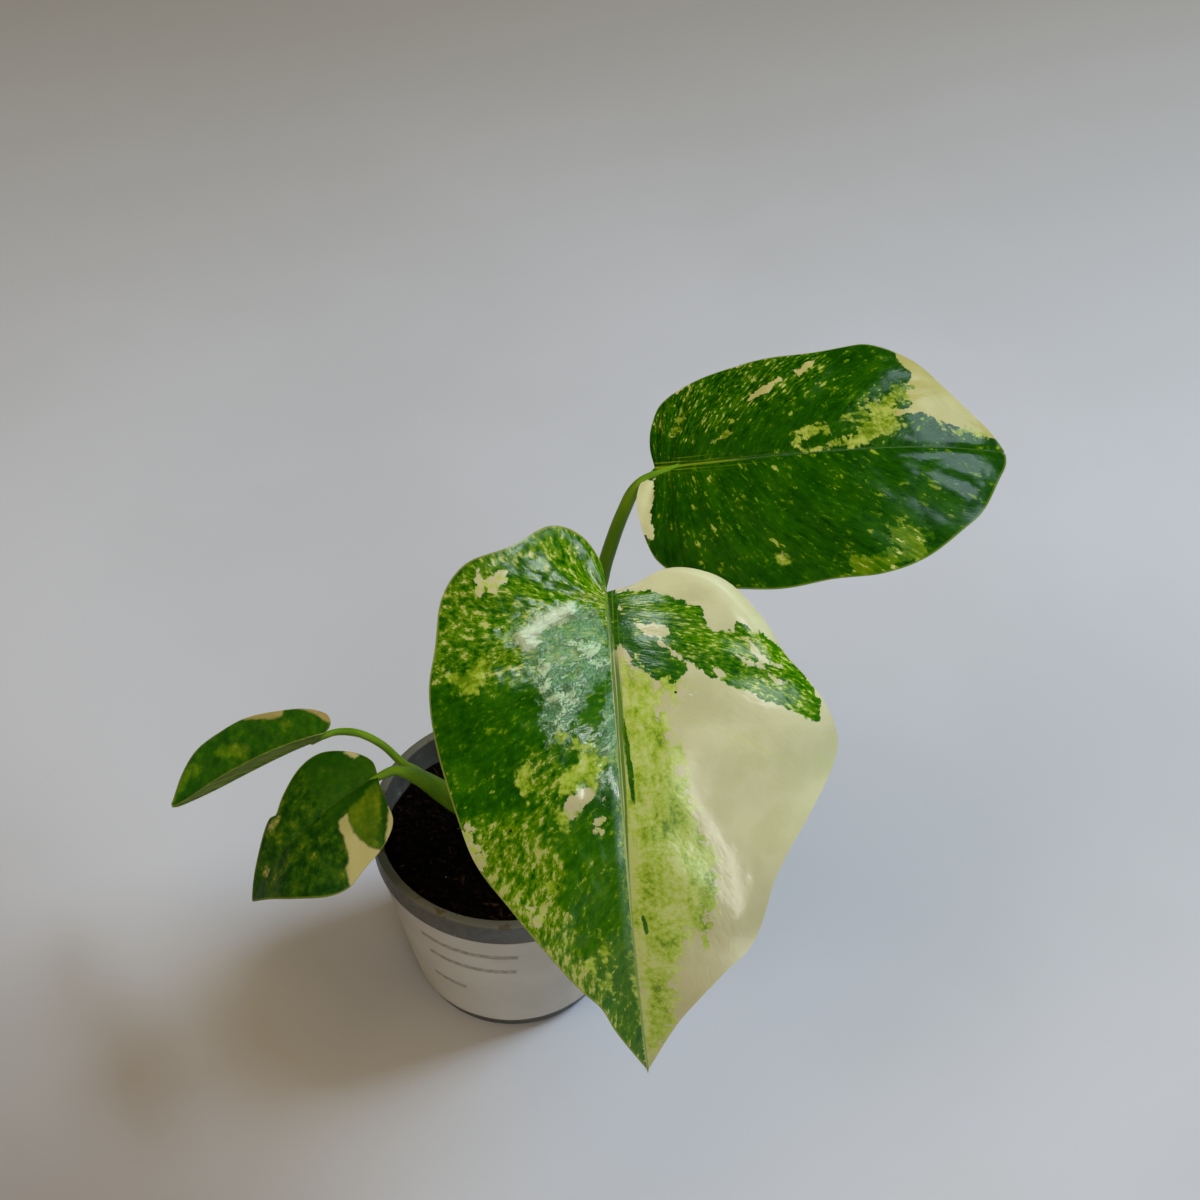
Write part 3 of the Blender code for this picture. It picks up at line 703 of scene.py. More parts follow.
def closed_rings(rings, sides):
    """The walls between rings of points, and the flat ends that close them."""
    last = range((rings - 1) * sides, rings * sides)
    return ring_walls(rings, sides) + [tuple(range(sides))[::-1], tuple(last)]


def thick_sheet(upper, lower, faces, edge):
    """A closed sheet from its upper and lower skins, whose edge lines its sides follow."""
    count = len(upper)
    under = [tuple(index + count for index in face[::-1]) for face in faces]
    sides = [(first, second, second + count, first + count) for first, second in edge]
    return np.vstack([upper, lower]), faces + under + sides


def smooth_points(points, count):
    """Points spaced evenly along a Catmull-Rom curve through the given ones."""
    given = np.array(points, dtype=float)
    padded = np.vstack([2 * given[0] - given[1], given, 2 * given[-1] - given[-2]])
    spans = len(given) - 1
    dense = []
    for place in np.linspace(0, spans, 20 * spans + 1):
        span = min(int(place), spans - 1)
        t = place - span
        a, b, c, d = padded[span : span + 4]
        bend = (2 * b) + (c - a) * t + (2 * a - 5 * b + 4 * c - d) * t**2
        dense.append(0.5 * (bend + (3 * b - 3 * c + d - a) * t**3))
    dense = np.array(dense)
    lengths = np.linalg.norm(np.diff(dense, axis=0), axis=1)
    travelled = np.concatenate([[0.0], np.cumsum(lengths)])
    wanted = np.linspace(0, travelled[-1], count)
    return np.stack([np.interp(wanted, travelled, column) for column in dense.T], axis=1)


def distance_to_line(places, line):
    """Each place's distance to a line through flat points."""
    best = np.full(len(places), np.inf)
    for start, end in zip(line, line[1:]):
        way = end - start
        reach = np.clip(((places - start) @ way) / max(way @ way, 1e-9), 0.0, 1.0)
        best = np.minimum(best, np.linalg.norm(places - start - reach[:, None] * way, axis=1))
    return best


def inside(places, ring):
    """Whether each flat place is inside a closed ring of points."""
    x, y = places[:, 0], places[:, 1]
    odd = np.zeros(len(places), dtype=bool)
    for (x1, y1), (x2, y2) in zip(ring, np.roll(ring, -1, axis=0)):
        if y1 == y2:
            continue
        crossing = x1 + (y - y1) * (x2 - x1) / (y2 - y1)
        odd ^= ((y1 > y) != (y2 > y)) & (x < crossing)
    return odd


def area_field(places, areas):
    """How far each place is inside the areas, in millimetres: less than zero is outside."""
    field = np.full(len(places), OUTSIDE)
    for sign, outline in areas:
        ring = np.array(outline, dtype=float)
        closed = np.vstack([ring, ring[:1]])
        depth = distance_to_line(places, closed) * np.where(inside(places, ring), 1.0, -1.0)
        field = np.maximum(field, depth) if sign > 0 else np.minimum(field, -depth)
    return field


def noise_at(along, across, depth):
    """Smooth noise at each flat place, on a level of its own."""
    return np.array([noise.noise(Vector((x, y, depth))) for x, y in zip(along, across)])


# Leaves


class BladeShape:
    """Carries flat leaf places to the curved blade."""

    def __init__(self, spec):
        self.spec = spec
        control = np.array(spec["midrib"], dtype=float)
        share = np.linspace(0, 1, MIDRIB_STEPS + 1)[:, None]
        rest = 1 - share
        self.points = rest**3 * control[0] + 3 * rest**2 * share * control[1]
        self.points += 3 * rest * share**2 * control[2] + share**3 * control[3]
        steps = np.linalg.norm(np.diff(self.points, axis=0), axis=1)
        self.travelled = np.concatenate([[0.0], np.cumsum(steps)])
        self.length = self.travelled[-1]
        self.tangents = np.gradient(self.points, axis=0)
        base, tip = np.array(spec["facing"], dtype=float)
        self.facings = base + (tip - base) * share

    def read(self, table, along):
        columns = [np.interp(along, self.travelled, column) for column in table.T]
        return np.stack(columns, axis=1)

    def frames(self, along):
        """Midrib points, directions, facings and rightward directions."""
        held = np.clip(along, 0.0, self.length)
        tangent = self.read(self.tangents, held)
        tangent /= np.linalg.norm(tangent, axis=1)[:, None]
        facing = self.read(self.facings, held)
        facing -= np.sum(facing * tangent, axis=1)[:, None] * tangent
        facing /= np.linalg.norm(facing, axis=1)[:, None]
        point = self.read(self.points, held) + (along - held)[:, None] * tangent
        return point, tangent, facing, np.cross(facing, tangent)

    def place(self, along, across):
        """Points of the curved blade: each half rises from the midrib and curls over."""
        spec = self.spec
        point, _, facing, rightward = self.frames(along)
        on_right = across > 0
        near = np.radians(np.where(on_right, spec["rise_right"][0], spec["rise_left"][0]))
        far = np.radians(np.where(on_right, spec["rise_right"][1], spec["rise_left"][1]))
        distance = np.abs(across)
        curl = (far - near) / spec["half_width"]
        outward = (np.sin(near + curl * distance) - np.sin(near)) / curl
        height = (np.cos(near) - np.cos(near + curl * distance)) / curl
        outer = (distance / spec["half_width"]) ** 2
        height += spec["wave"] * outer * np.sin(2 * math.pi * along / WAVE_PITCH + WAVE_SLANT * across)
        return point + (np.sign(across) * outward)[:, None] * rightward + height[:, None] * facing

    def normals(self, along, across):
        step = 0.2
        forward = self.place(along + step, across) - self.place(along - step, across)
        sideward = self.place(along, across + step) - self.place(along, across - step)
        way = np.cross(sideward, forward)
        way *= np.sign(np.sum(way * self.frames(along)[2], axis=1))[:, None]
        return way / np.linalg.norm(way, axis=1)[:, None]


def vein_foot(length, share):
    """Where a side vein leaves the midrib: those of the basal lobe start close together."""
    return length * (LOBE_SPACING * share + (1.0 - LOBE_SPACING) * share**VEIN_CROWDING)


def vein_place(foot, margin, share):
    """A flat place on the curved side vein from the midrib out to the margin."""
    along, across = margin
    bend = (foot + VEIN_BEND[0] * (along - foot), VEIN_BEND[1] * across)
    rest = 1 - share
    flat_along = rest**2 * foot + 2 * rest * share * bend[0] + share**2 * along
    flat_across = 2 * rest * share * bend[1] + share**2 * across
    return flat_along, flat_across


def blade_grid(spec, length):
    """Flat places of a blade, row by row along its veins, and the faces between them."""
    rows, columns = spec["grid"]
    entries = [(0.0, 0.0, 0.0, 0.0, 0.0), (length, 0.0, 1.0, 0.0, 0.0)]
    middle = []
    for row in range(1, rows):
        middle.append(len(entries))
        entries.append((vein_foot(length, row / rows), 0.0, row / rows, 0.0, 0.0))
    faces = []
    edge = []
    for side, sign in (("left", -1.0), ("right", 1.0)):
        margin = smooth_points(spec[side], rows + 1)
        grid = []
        for row in range(1, rows):
            foot = vein_foot(length, row / rows)
            line = [middle[row - 1]]
            for column in range(1, columns + 1):
                share = column / columns
                along, across = vein_place(foot, margin[row], share)
                line.append(len(entries))
                entries.append((along, across, row / rows, share, sign))
            grid.append(line)
        for first, second in zip(grid, grid[1:]):
            for column in range(columns):
                quad = (first[column], second[column], second[column + 1], first[column + 1])
                faces.append(quad if sign > 0 else quad[::-1])
        for column in range(columns):
            start = (0, grid[0][column], grid[0][column + 1])
            tip = (1, grid[-1][column + 1], grid[-1][column])
            faces.append(start if sign > 0 else start[::-1])
            faces.append(tip if sign > 0 else tip[::-1])
        rim = [0] + [line[-1] for line in grid] + [1]
        edge += list(zip(rim, rim[1:])) if sign > 0 else list(zip(rim[1:], rim))
    return np.array(entries), faces, edge


def blade_relief(name, spec, grid):
    """Height of the fine relief: sunken veins, puckers between them, ridges and a midrib groove."""
    along, across, row, out = grid.T[:4]
    distance = np.abs(across)
    calm = np.where(across > 0, spec["calm_right"], 1.0)
    between = np.sin(math.pi * row * spec["veins"]) ** 2
    held = np.sin(math.pi * np.clip(out, 0, 1)) ** 0.8 * calm
    height = spec["pucker"] * (between - 0.5) * held
    height -= spec["groove"] * np.exp(-((distance / GROOVE_WIDTH) ** 2))
    bank = np.exp(-(((distance - BANK_PLACE) / BANK_WIDTH) ** 2))
    height += BANK_SHARE * spec["groove"] * bank
    for line, tall, wide in RIDGES[name]:
        away = distance_to_line(grid[:, :2], np.array(line, dtype=float))
        height += tall * np.exp(-((away / wide) ** 2))
    lumps = noise_at(along / 4.0, across / 2.6, 5.0)
    lumps += 0.5 * noise_at(along / 1.3, across / 1.3, 2.0 / 1.3)
    height += LUMP_HEIGHT * lumps * np.clip(distance / 3.0, 0, 1) * calm
    if name == "front":
        height += crumpled_relief(along, across, out)
    return height * np.clip((1.0 - out) * 8.0, 0.0, 1.0)


def crumpled_relief(along, across, out):
    """The front leaf's own relief: halves that lean by the midrib, and creases at the left base."""
    lean = LEFT_LEAN * (across < 0) * np.clip((along - 24.0) / 16.0, 0, 1)
    lean += RIGHT_LEAN * (across > 0) * np.clip((26.0 - along) / 14.0, 0, 1)
    places = np.column_stack([along, across])
    creased = np.clip((area_field(places, AREAS["front"]["crinkle"]) + 3.0) / 5.0, 0, 1)
    creased *= np.clip(-across / 1.5, 0, 1)
    folds = noise_at((0.9 * along + 0.45 * across) / 1.3, (0.9 * across - 0.45 * along) / 3.2, 7.0)
    return CREASE_HEIGHT * np.abs(folds) * creased - lean * np.abs(across) * (1.0 - out)


def make_blade(name, material):
    """A blade of even thickness with its relief, and the fields that its material reads."""
    spec = BLADES[name]
    shape = BladeShape(spec)
    grid, faces, edge = blade_grid(spec, shape.length)
    along, across, row, out, side = grid.T
    normal = shape.normals(along, across)
    rise = UPPER_SKIN + blade_relief(name, spec, grid)
    upper = shape.place(along, across) + rise[:, None] * normal
    taper = 1.0 - RIB_TAPER * np.clip(along / shape.length, 0, 1)
    rib = spec["rib"] * taper * np.exp(-((across / RIB_WIDTH) ** 2)) * (1.0 - out)
    thick = BLADE_THICK + (EDGE_THICK - BLADE_THICK) * out**3 + rib
    verts, faces = thick_sheet(upper, upper - thick[:, None] * normal, faces, edge)
    areas = AREAS[name]
    fields = {key: area_field(grid[:, :2], areas.get(key, [])) for key in AREA_KINDS}
    reach = np.hypot(along - vein_foot(shape.length, row), across)
    fields["margin"] = reach * (1.0 - out) / np.maximum(out, 0.1)
    fields["leaf_place"] = np.column_stack([along, across, np.zeros(len(grid))])
    fields["vein_flow"] = np.column_stack([row * 1.3 * shape.length, reach, side * 40.0])
    fields = {key: np.concatenate([field, field]) for key, field in fields.items()}
    fields["under"] = np.repeat([0.0, 1.0], len(grid))
    add_piece("blade_" + name, verts, faces, material, "leaf_" + name, fields)


class LeafPaint(Paint):
    """A leaf's paint, with the flat places and the ragged noises that its parts share."""

    def __init__(self, name):
        super().__init__("blade_" + name)
        self.look = LOOKS[name]
        self.place = self.vector("leaf_place")
        self.flow = self.vector("vein_flow")
        self.along = self.part(self.place, 0)
        self.across = self.part(self.place, 1)
        ragged = self.look["ragged"]
        self.ragged = self.swing(self.noise(self.place, 0.28, 6.0, 0.62), 16.0 * ragged)
        self.nibbled = self.swing(self.noise(self.place, 0.7, 5.0, 0.6), 2.4 * ragged)
        self.clouds = self.noise(self.place, 0.12, 3.0)


def leaf_material(name):
    """Marbled green and cream skin: flecks that follow the veins, ragged areas, a waxy gloss and, on the
    front leaf, painted sheen and shade.
    """
    leaf = LeafPaint(name)
    look, place = leaf.look, leaf.place
    green = leaf.ramp(green_level(leaf), look["greens"])
    skin = leaf.fade(green, look["rim"], leaf.value("margin"), 0.5, 0.15, top=0.7)
    skin = paled(leaf, skin)
    grain = leaf.noise(place, 2.4, 3.0, 0.6)
    quilt = leaf.cells(leaf.stretch(leaf.flow, (1.0, 0.6, 1.0)), 0.6, "DISTANCE_TO_EDGE")
    relief = grain * 0.2 + leaf.blend(quilt, 0.0, 0.3, top=0.12)
    if name == "front":
        skin = veined(leaf, midrib_band(leaf, skin, green))
        # The front leaf's folds give a real bump, and also carry painted sheen, glints and crease shade.
        folds, shaded_creases, zone = crumpled(leaf)
        skin = paint_sheen_and_shade(leaf, skin, folds, shaded_creases, zone)
        relief += (folds * 14.0 - 7.0) * zone
    else:
        skin = veined(leaf, skin)
    leaf.bump(relief, 0.07)

    specks = leaf.blend(leaf.cells(place, 0.1), 0.036, 0.024) * leaf.blend(leaf.clouds, 0.52, 0.53)
    skin = leaf.mix(specks, skin, SPECK_BROWN)
    under = leaf.value("under")
    streaks = leaf.noise(leaf.flow, 0.6, 4.0, 0.6, drawn=(0.8, 0.1, 1.0))
    skin = leaf.mix(under * 0.65, skin, leaf.fade(*LEAF_BELOW, streaks, 0.42, 0.6))

    low, high = look["gloss"]
    dull = leaf.blend(leaf.across, 0.0, 4.0) * leaf.blend(leaf.along, 22.0, 30.0)
    rough = dull * look["dull_right"] + leaf.blend(grain, 0.4, 0.6, floor=low, top=high)
    return leaf.finish(skin, leaf.maths("MAXIMUM", rough, under * 0.8), look["shine"])


def green_level(leaf):
    """Place on the ramp of greens: marbling, streaks and flecks, lighter in the flecked zone."""
    look, place, flow = leaf.look, leaf.place, leaf.flow
    zone = leaf.blend(leaf.value("fleck") + leaf.ragged, -1.5, 1.5)
    deep = leaf.blend(leaf.value("deep") + leaf.ragged, -1.2, 1.2)
    veil = leaf.blend(leaf.value("veil") + leaf.ragged, -0.6, 1.0)
    marble = leaf.noise(flow if look["drift"] else place, 0.8, 7.0, 0.68, drawn=look["grain"])
    spray = leaf.swing(leaf.noise(place, 0.16, 5.0, 0.62), 1.0)
    streaks = leaf.noise(flow, 0.5, 5.0, 0.6, drawn=(0.9, 0.16, 1.0))
    quiet, busy, veiled = look["levels"]
    fine, streaked = look["swings"]
    sparse, thick = look["bars"]
    level = zone * (busy - quiet) + quiet
    level += deep * -0.05 + veil * veiled
    level += spray * (zone * 0.7 + 0.3)
    level += leaf.swing(marble, fine) * (zone * 1.7 + 0.8)
    level += leaf.swing(streaks, streaked) * (veil * 0.6 + 0.7)
    bar = zone * (thick - sparse) + sparse
    level += leaf.blend(spray * 0.25 + marble - bar, 0.0, 0.04, top=look["fleck_top"])
    if look["specks"]:
        dots = leaf.cells(leaf.stretch(flow, (1.0, 0.42, 1.0)), 0.46) + leaf.swing(marble, 1.6)
        dots = leaf.blend(dots, look["specks"], 0.5 * look["specks"])
        level += dots * leaf.blend(leaf.noise(place, 0.35, 4.0, 0.6), 0.48, 0.56, top=0.65)
    level += leaf.blend(leaf.along, 36.0, 52.0, top=look["tip_lift"])
    return level + leaf.swing(leaf.clouds, 0.5)


def paled(leaf, skin):
    """The cream and lime areas over a skin: crisp nibbled cream edges and feathery lime ones."""
    look, place, across, soft = leaf.look, leaf.place, leaf.across, leaf.look["soft"]
    lime_tint = look["limes"][-2][1]
    mottle = leaf.noise(place, 0.7, 7.0, 0.7)
    streaks = leaf.noise(leaf.flow, 0.8, 4.0, 0.6, drawn=(0.5, 0.06, 1.0))
    clouds = leaf.blend(leaf.noise(place, 0.1, 3.0), 0.4, 0.6)
    cream = leaf.mix(clouds, look["cream"], look["cream_shade"])
    cream = leaf.fade(cream, lime_tint, streaks, 0.55, 0.7, top=0.15)
    cream = leaf.fade(cream, look["cream_base"], leaf.along, 3.0, -1.0)
    edge = leaf.value("cream") + leaf.nibbled + leaf.ragged * 0.15
    skin = leaf.fade(skin, cream, edge, -soft, soft)

    tone = leaf.swing(mottle, 3.2) + leaf.noise(place, 0.17, 3.0) * 2.2 - 0.52
    tone += leaf.blend(across, 3.4, 0.6) * leaf.blend(across, 0.0, 0.3, top=0.4)
    tone += leaf.blend(across, 0.5, -0.5, top=look["left_tone"])
    torn = (leaf.nibbled * 0.8 + leaf.ragged * 0.6) * leaf.blend(across, -0.5, 0.5, floor=0.5)
    froth = leaf.swing(mottle, look["froth"]) * leaf.blend(across, 0.0, 3.0, floor=0.2)
    edge = leaf.value("lime") + torn + froth
    skin = leaf.fade(skin, leaf.ramp(tone, look["limes"]), edge, -0.3, 0.6)

    edge = leaf.value("blotch") + leaf.nibbled + leaf.ragged * 0.7
    blotch = leaf.fade(lime_tint, cream, mottle, 0.45, 0.53)
    return leaf.fade(skin, blotch, edge, -soft, 0.25, top=look["blotch_top"])


def midrib_band(leaf, skin, green):
    """Thin pale and green lines on the right of the midrib, and two green slivers beside them."""
    along, across = leaf.along, leaf.across
    width = leaf.blend(along, 64.0, 18.0, floor=0.2, top=1.5)
    band = leaf.blend(across - width, 0.2, -0.15) * leaf.blend(across, -0.3, -0.1)
    band *= leaf.blend(along - across * 4.0, 4.0, 12.0)
    lines = leaf.noise(leaf.place, 1.0, 2.0, drawn=(0.03, 2.0, 1.0))
    tint = leaf.fade(*MIDRIB_LINES, lines, 0.5, 0.56)
    skin = leaf.mix(band * 0.85, skin, tint)
    slivers = leaf.blend(leaf.value("sliver") + leaf.nibbled * 0.5, -0.1, 0.1)
    return leaf.mix(slivers * leaf.blend(across, 0.7, 0.9), skin, green)


def veined(leaf, skin):
    """Faint lines beside the base of the midrib, and a pale thread along it."""
    from_middle = abs(leaf.across)
    reach = leaf.look["lines_end"]
    near_base = leaf.blend(from_middle, 2.6, 0.9) * leaf.blend(leaf.along, reach, 0.4 * reach)
    lines = leaf.noise(leaf.place, 1.0, 2.0, drawn=(0.045, 1.7, 1.0))
    lines = leaf.blend(lines, 0.52, 0.6, top=0.55) * near_base
    skin = leaf.mix(lines, skin, leaf.look["line_tint"])
    start, end = leaf.look["core"]
    thread = leaf.blend(leaf.along, start, start + 14.0) * leaf.blend(leaf.along, end, 0.6 * end)
    thread *= leaf.blend(from_middle, 0.28, 0.1, top=0.6)
    return leaf.mix(thread, skin, leaf.look["midrib"])


def crumpled(leaf):
    """Folds of the crumpled skin that run up toward the midrib, the thin lines where shade is painted in
    their creases, and its share.
    """
    feeds = {"Vector": leaf.place, "Angle": math.radians(-116.0)}
    turned = leaf.add("ShaderNodeVectorRotate", feeds, rotation_type="Z_AXIS")
    folds = leaf.noise(turned, 0.34, 4.0, 0.55, 0.7, drawn=(0.42, 1.0, 1.0))
    shaded_creases = leaf.blend(abs(folds - 0.53), 0.02, 0.006)
    nibbled = leaf.swing(leaf.noise(leaf.place, 0.8, 5.0, 0.6), 9.0)
    zone = leaf.blend(leaf.value("crinkle") + nibbled, -0.7, 0.9)
    return folds, shaded_creases, zone * leaf.blend(leaf.across, -0.1, -0.5)


def paint_sheen_and_shade(leaf, skin, folds, shaded_creases, zone):
    """Painted sheen and glints on the crumpled skin, painted shade in its creases, a painted highlight
    along a fold, and a painted sheen beside the midrib.
    """
    grain = leaf.noise(leaf.place, 2.2, 4.0, 0.7)
    # Painted sheen and painted glints on the crumpled skin.
    faint = leaf.blend(folds + leaf.swing(grain, 1.6), 0.34, 0.56, floor=0.3, top=0.9)
    bright = leaf.blend(folds + leaf.swing(grain, 0.6), 0.53, 0.62, top=0.85)
    skin = leaf.mix(zone * faint, skin, PAINTED_SHEEN_FAINT)
    skin = leaf.mix(zone * bright, skin, PAINTED_GLINT)
    # Painted shade in the thin creases between the folds.
    skin = leaf.mix(zone * shaded_creases * 0.7, skin, PAINTED_CREASE_SHADE)
    # A painted highlight along the fold.
    fold = leaf.blend(leaf.value("fold") + leaf.swing(folds, 6.0), -0.9, 0.4, top=0.85)
    skin = leaf.mix(fold, skin, leaf.mix(grain, *PAINTED_FOLD_HIGHLIGHT))
    # A painted sheen on the left flank of the midrib.
    sheen = leaf.blend(leaf.across, -2.3, -1.0) * leaf.blend(leaf.across, 0.0, -0.3)
    sheen *= leaf.blend(leaf.along, 16.0, 24.0) * leaf.blend(leaf.along, 84.0, 56.0)
    sheen *= leaf.blend(grain, 0.35, 0.65, floor=0.1, top=0.65)
    return leaf.mix(sheen, skin, MIDRIB_SHEEN)


def make_tube(path, radii, sides):
    """Rings of a round solid along a path, with its faces and (around, along) places."""
    across = np.array([1.0, 0.0, 0.0])
    verts, places = [], []
    travelled = 0.0
    for index, (centre, radius) in enumerate(zip(path, radii)):
        before, after = path[max(index - 1, 0)], path[min(index + 1, len(path) - 1)]
        ahead = (after - before) / np.linalg.norm(after - before)
        across = across - across.dot(ahead) * ahead
        across /= np.linalg.norm(across)
        beside = np.cross(ahead, across)
        travelled += np.linalg.norm(centre - before)
        for side in range(sides):
            angle = 2 * math.pi * side / sides
            verts.append(centre + radius * (math.cos(angle) * across + math.sin(angle) * beside))
            places.append((angle * radius, travelled, 0.0))
    return verts, closed_rings(len(path), sides), {"skin_place": places}


def make_stalk(name, material):
    """A leaf's stalk, from inside the stem to the underside of its blade."""
    spec = STALKS[name]
    along, below = spec["joins"]
    point, _, facing, _ = BladeShape(BLADES[name]).frames(np.array([float(along)]))
    path = smooth_points(spec["through"] + [tuple(point[0] - below * facing[0])], STALK_RINGS)
    knots = np.linspace(0, 1, len(spec["radii"]))
    radii = np.interp(np.linspace(0, 1, STALK_RINGS), knots, spec["radii"])
    verts, faces, fields = make_tube(path, radii, STALK_SIDES)
    add_piece("stalk_" + name, verts, faces, material, "leaf_" + name, fields)


def stalk_material():
    """Bright green skin with fine lines along it."""
    paint = Paint("stalk_green")
    place = paint.vector("skin_place")
    lines = paint.noise(place, 1.2, 3.0, 0.6, drawn=(1.6, 0.08, 1.0))
    cloud = paint.noise(place, 0.8, 2.0, drawn=(0.3, 0.12, 1.0))
    colour = paint.fade(*STALK_GREENS, cloud, 0.35, 0.65)
    colour = paint.fade(colour, STALK_LINES, lines, 0.52, 0.72, top=0.5)
    paint.bump(lines, 0.12)
    return paint.finish(colour, paint.blend(lines, 0.3, 0.7, floor=0.4, top=0.55), specular=0.2)


def make_stem(material):
    """The short shoot that the stalks leave."""
    heights = np.linspace(STEM_PROFILE[0][0], STEM_PROFILE[-1][0], STEM_RINGS)
    radii = np.interp(heights, *zip(*STEM_PROFILE))
    path = np.array([(STEM_X, STEM_Y, height) for height in heights])
    verts, faces, fields = make_tube(path, radii, STEM_SIDES)
    add_piece("stem_shoot", verts, faces, material, "stem", fields)


def stem_material():
    """Green skin with lines along it and a few brown papery patches."""
    paint = Paint("stem_green")
    place = paint.vector("skin_place")
    lines = paint.noise(place, 1.1, 3.0, 0.6, drawn=(1.2, 0.1, 1.0))
    patches = paint.noise(place, 0.3, 3.0)
    colour = paint.fade(*STEM_GREENS, lines, 0.4, 0.7)
    colour = paint.fade(colour, STEM_PATCHES, patches, 0.5, 0.62, top=0.7)
    paint.bump(lines, 0.2)
    return paint.finish(colour, 0.55)


# Pot, label and soil


def body_radius(height):
    """Outer radius of the tapered wall below the rim band."""
    return BASE_RADIUS + (BODY_TOP_RADIUS - BASE_RADIUS) * height / (POT_HEIGHT - BAND_DEPTH)


def pot_profile():
    """The cup's section, as (radius, height), from the base round the rim to the inside floor."""
    top, rim, base = POT_HEIGHT, RIM_RADIUS, BASE_RADIUS
    band_low = top - BAND_DEPTH
    outside = [
        (FLOOR_DISC, 0.0), (base - 3.0, 0.0), (base - 0.9, 0.05), (base - 0.3, 0.3), (base, 0.9),
        (body_radius(3.0), 3.0), (body_radius(20.0), 20.0), (body_radius(44.0), 44.0),
        (BODY_TOP_RADIUS, band_low - 0.1),
    ]
    band = [
        (BAND_RADIUS - 0.2, band_low), (BAND_RADIUS, band_low + 0.15),
        (BAND_RADIUS + 0.02, band_low + 0.4), (rim - 0.12, top - 1.0), (rim, top - 0.8),
        (rim, top - 0.35), (rim - 0.15, top - 0.1), (rim - 0.4, top), (rim - 1.8, top),
        (rim - 2.05, top - 0.12), (rim - 2.18, top - 0.4),
    ]
    upper = body_radius(band_low) - WALL
    lower = body_radius(FLOOR) - WALL
    inner = [
        (upper + 0.35, band_low + 0.6), (upper, band_low - 0.3), (body_radius(20.0) - WALL, 20.0),
        (lower, FLOOR + 1.0), (lower - 1.0, FLOOR), (FLOOR_DISC, FLOOR),
    ]
    return outside + band + inner


def make_pot(material):
    """The thin cup, turned, with drain holes cut through its base."""
    profile = pot_profile()
    verts = [point for radius, height in profile for point in circle(radius, height, POT_SIDES)]
    cup = make_mesh("pot_cup", verts, closed_rings(len(profile), POT_SIDES))
    solid = link_object("pot_solid", cup)
    tools = [solid]
    for index in range(DRAIN_HOLES):
        angle = math.radians(DRAIN_START_DEG) + 2 * math.pi * index / DRAIN_HOLES
        x, y = DRAIN_CIRCLE * math.cos(angle), DRAIN_CIRCLE * math.sin(angle)
        bpy.ops.mesh.primitive_cylinder_add(
            vertices=DRILL_SIDES,
            radius=DRAIN_RADIUS * MM,
            depth=DRILL_DEPTH * MM,
            location=(x * MM, y * MM, 0),
        )
        modifier = solid.modifiers.new("drain", "BOOLEAN")
        modifier.operation = "DIFFERENCE"
        modifier.solver = "EXACT"
        modifier.object = bpy.context.object
        tools.append(bpy.context.object)
    evaluated = solid.evaluated_get(bpy.context.evaluated_depsgraph_get())
    drilled = bpy.data.meshes.new_from_object(evaluated)
    for tool in tools:
        bpy.data.objects.remove(tool, do_unlink=True)
    place_piece("pot_shell", drilled, material, "pot", 32.0)


def pot_material():
    """Satin grey plastic: faint flow marks, fine scratches, dust, a little dried soil by the rim and a
    painted highlight on the top of the lip.
    """
    paint = Paint("pot_plastic")
    place = paint.object_place()
    flow = paint.noise(place, 90.0, 4.0, 0.6, drawn=(1.0, 1.0, 0.25))
    grain = paint.noise(place, 2600.0, 2.0, 0.6)
    dust = paint.noise(place, 420.0, 5.0, 0.7)
    dirt = paint.noise(place, 260.0, 4.0, 0.6)
    height = paint.part(place, 2)
    near_rim = paint.blend(height, (POT_HEIGHT - 2.6) * MM, (POT_HEIGHT - 0.6) * MM)
    # A painted highlight on the flat top of the lip.
    lip_highlight = paint.blend(height, (POT_HEIGHT - 0.75) * MM, (POT_HEIGHT - 0.2) * MM)
    colour = paint.fade(*POT_GREYS, flow, 0.35, 0.65)
    colour = paint.fade(colour, POT_DUST, dust, 0.56, 0.7, top=0.4)
    colour = paint.mix(lip_highlight * 0.8, colour, POT_LIP_HIGHLIGHT)
    dirt = paint.blend(dirt, 0.62, 0.66, top=0.8) * near_rim
    colour = paint.mix(dirt, colour, POT_DIRT)
    paint.bump(grain + flow * 0.5, 0.05)
    return paint.finish(colour, paint.blend(dust, 0.3, 0.7, floor=0.38, top=0.6))


def make_label(material):
    """The paper wrap: a thin tapered sheet, a little wavy, open at a narrow seam behind."""
    start = math.radians(90.0 + LABEL_SEAM_DEG / 2)
    sweep = math.radians(360.0 - LABEL_SEAM_DEG)
    outer, inner, places = [], [], []
    for column in range(LABEL_COLUMNS + 1):
        angle = start + sweep * column / LABEL_COLUMNS
        x, y = math.cos(angle), math.sin(angle)
        for row in range(LABEL_ROWS + 1):
            height = LABEL_LOW + (LABEL_HIGH - LABEL_LOW) * row / LABEL_ROWS
            ripple = 0.5 + 0.5 * noise.noise(Vector((6 * x, 6 * y, height / 16)))
            radius = body_radius(height) + LABEL_GAP + LABEL_RIPPLE * ripple
            inner.append((radius * x, radius * y, height))
            radius += LABEL_THICK
            outer.append((radius * x, radius * y, height))
            places.append((angle * BASE_RADIUS, height, 0.0))
    verts, faces = thick_sheet(outer, inner, *sheet_grid(LABEL_COLUMNS, LABEL_ROWS))
    fields = {"wrap_place": np.vstack([places, np.add(places, (0.0, 0.0, 1.0))])}
    add_piece("label_wrap", verts, faces, material, "pot_label", fields, 40.0)


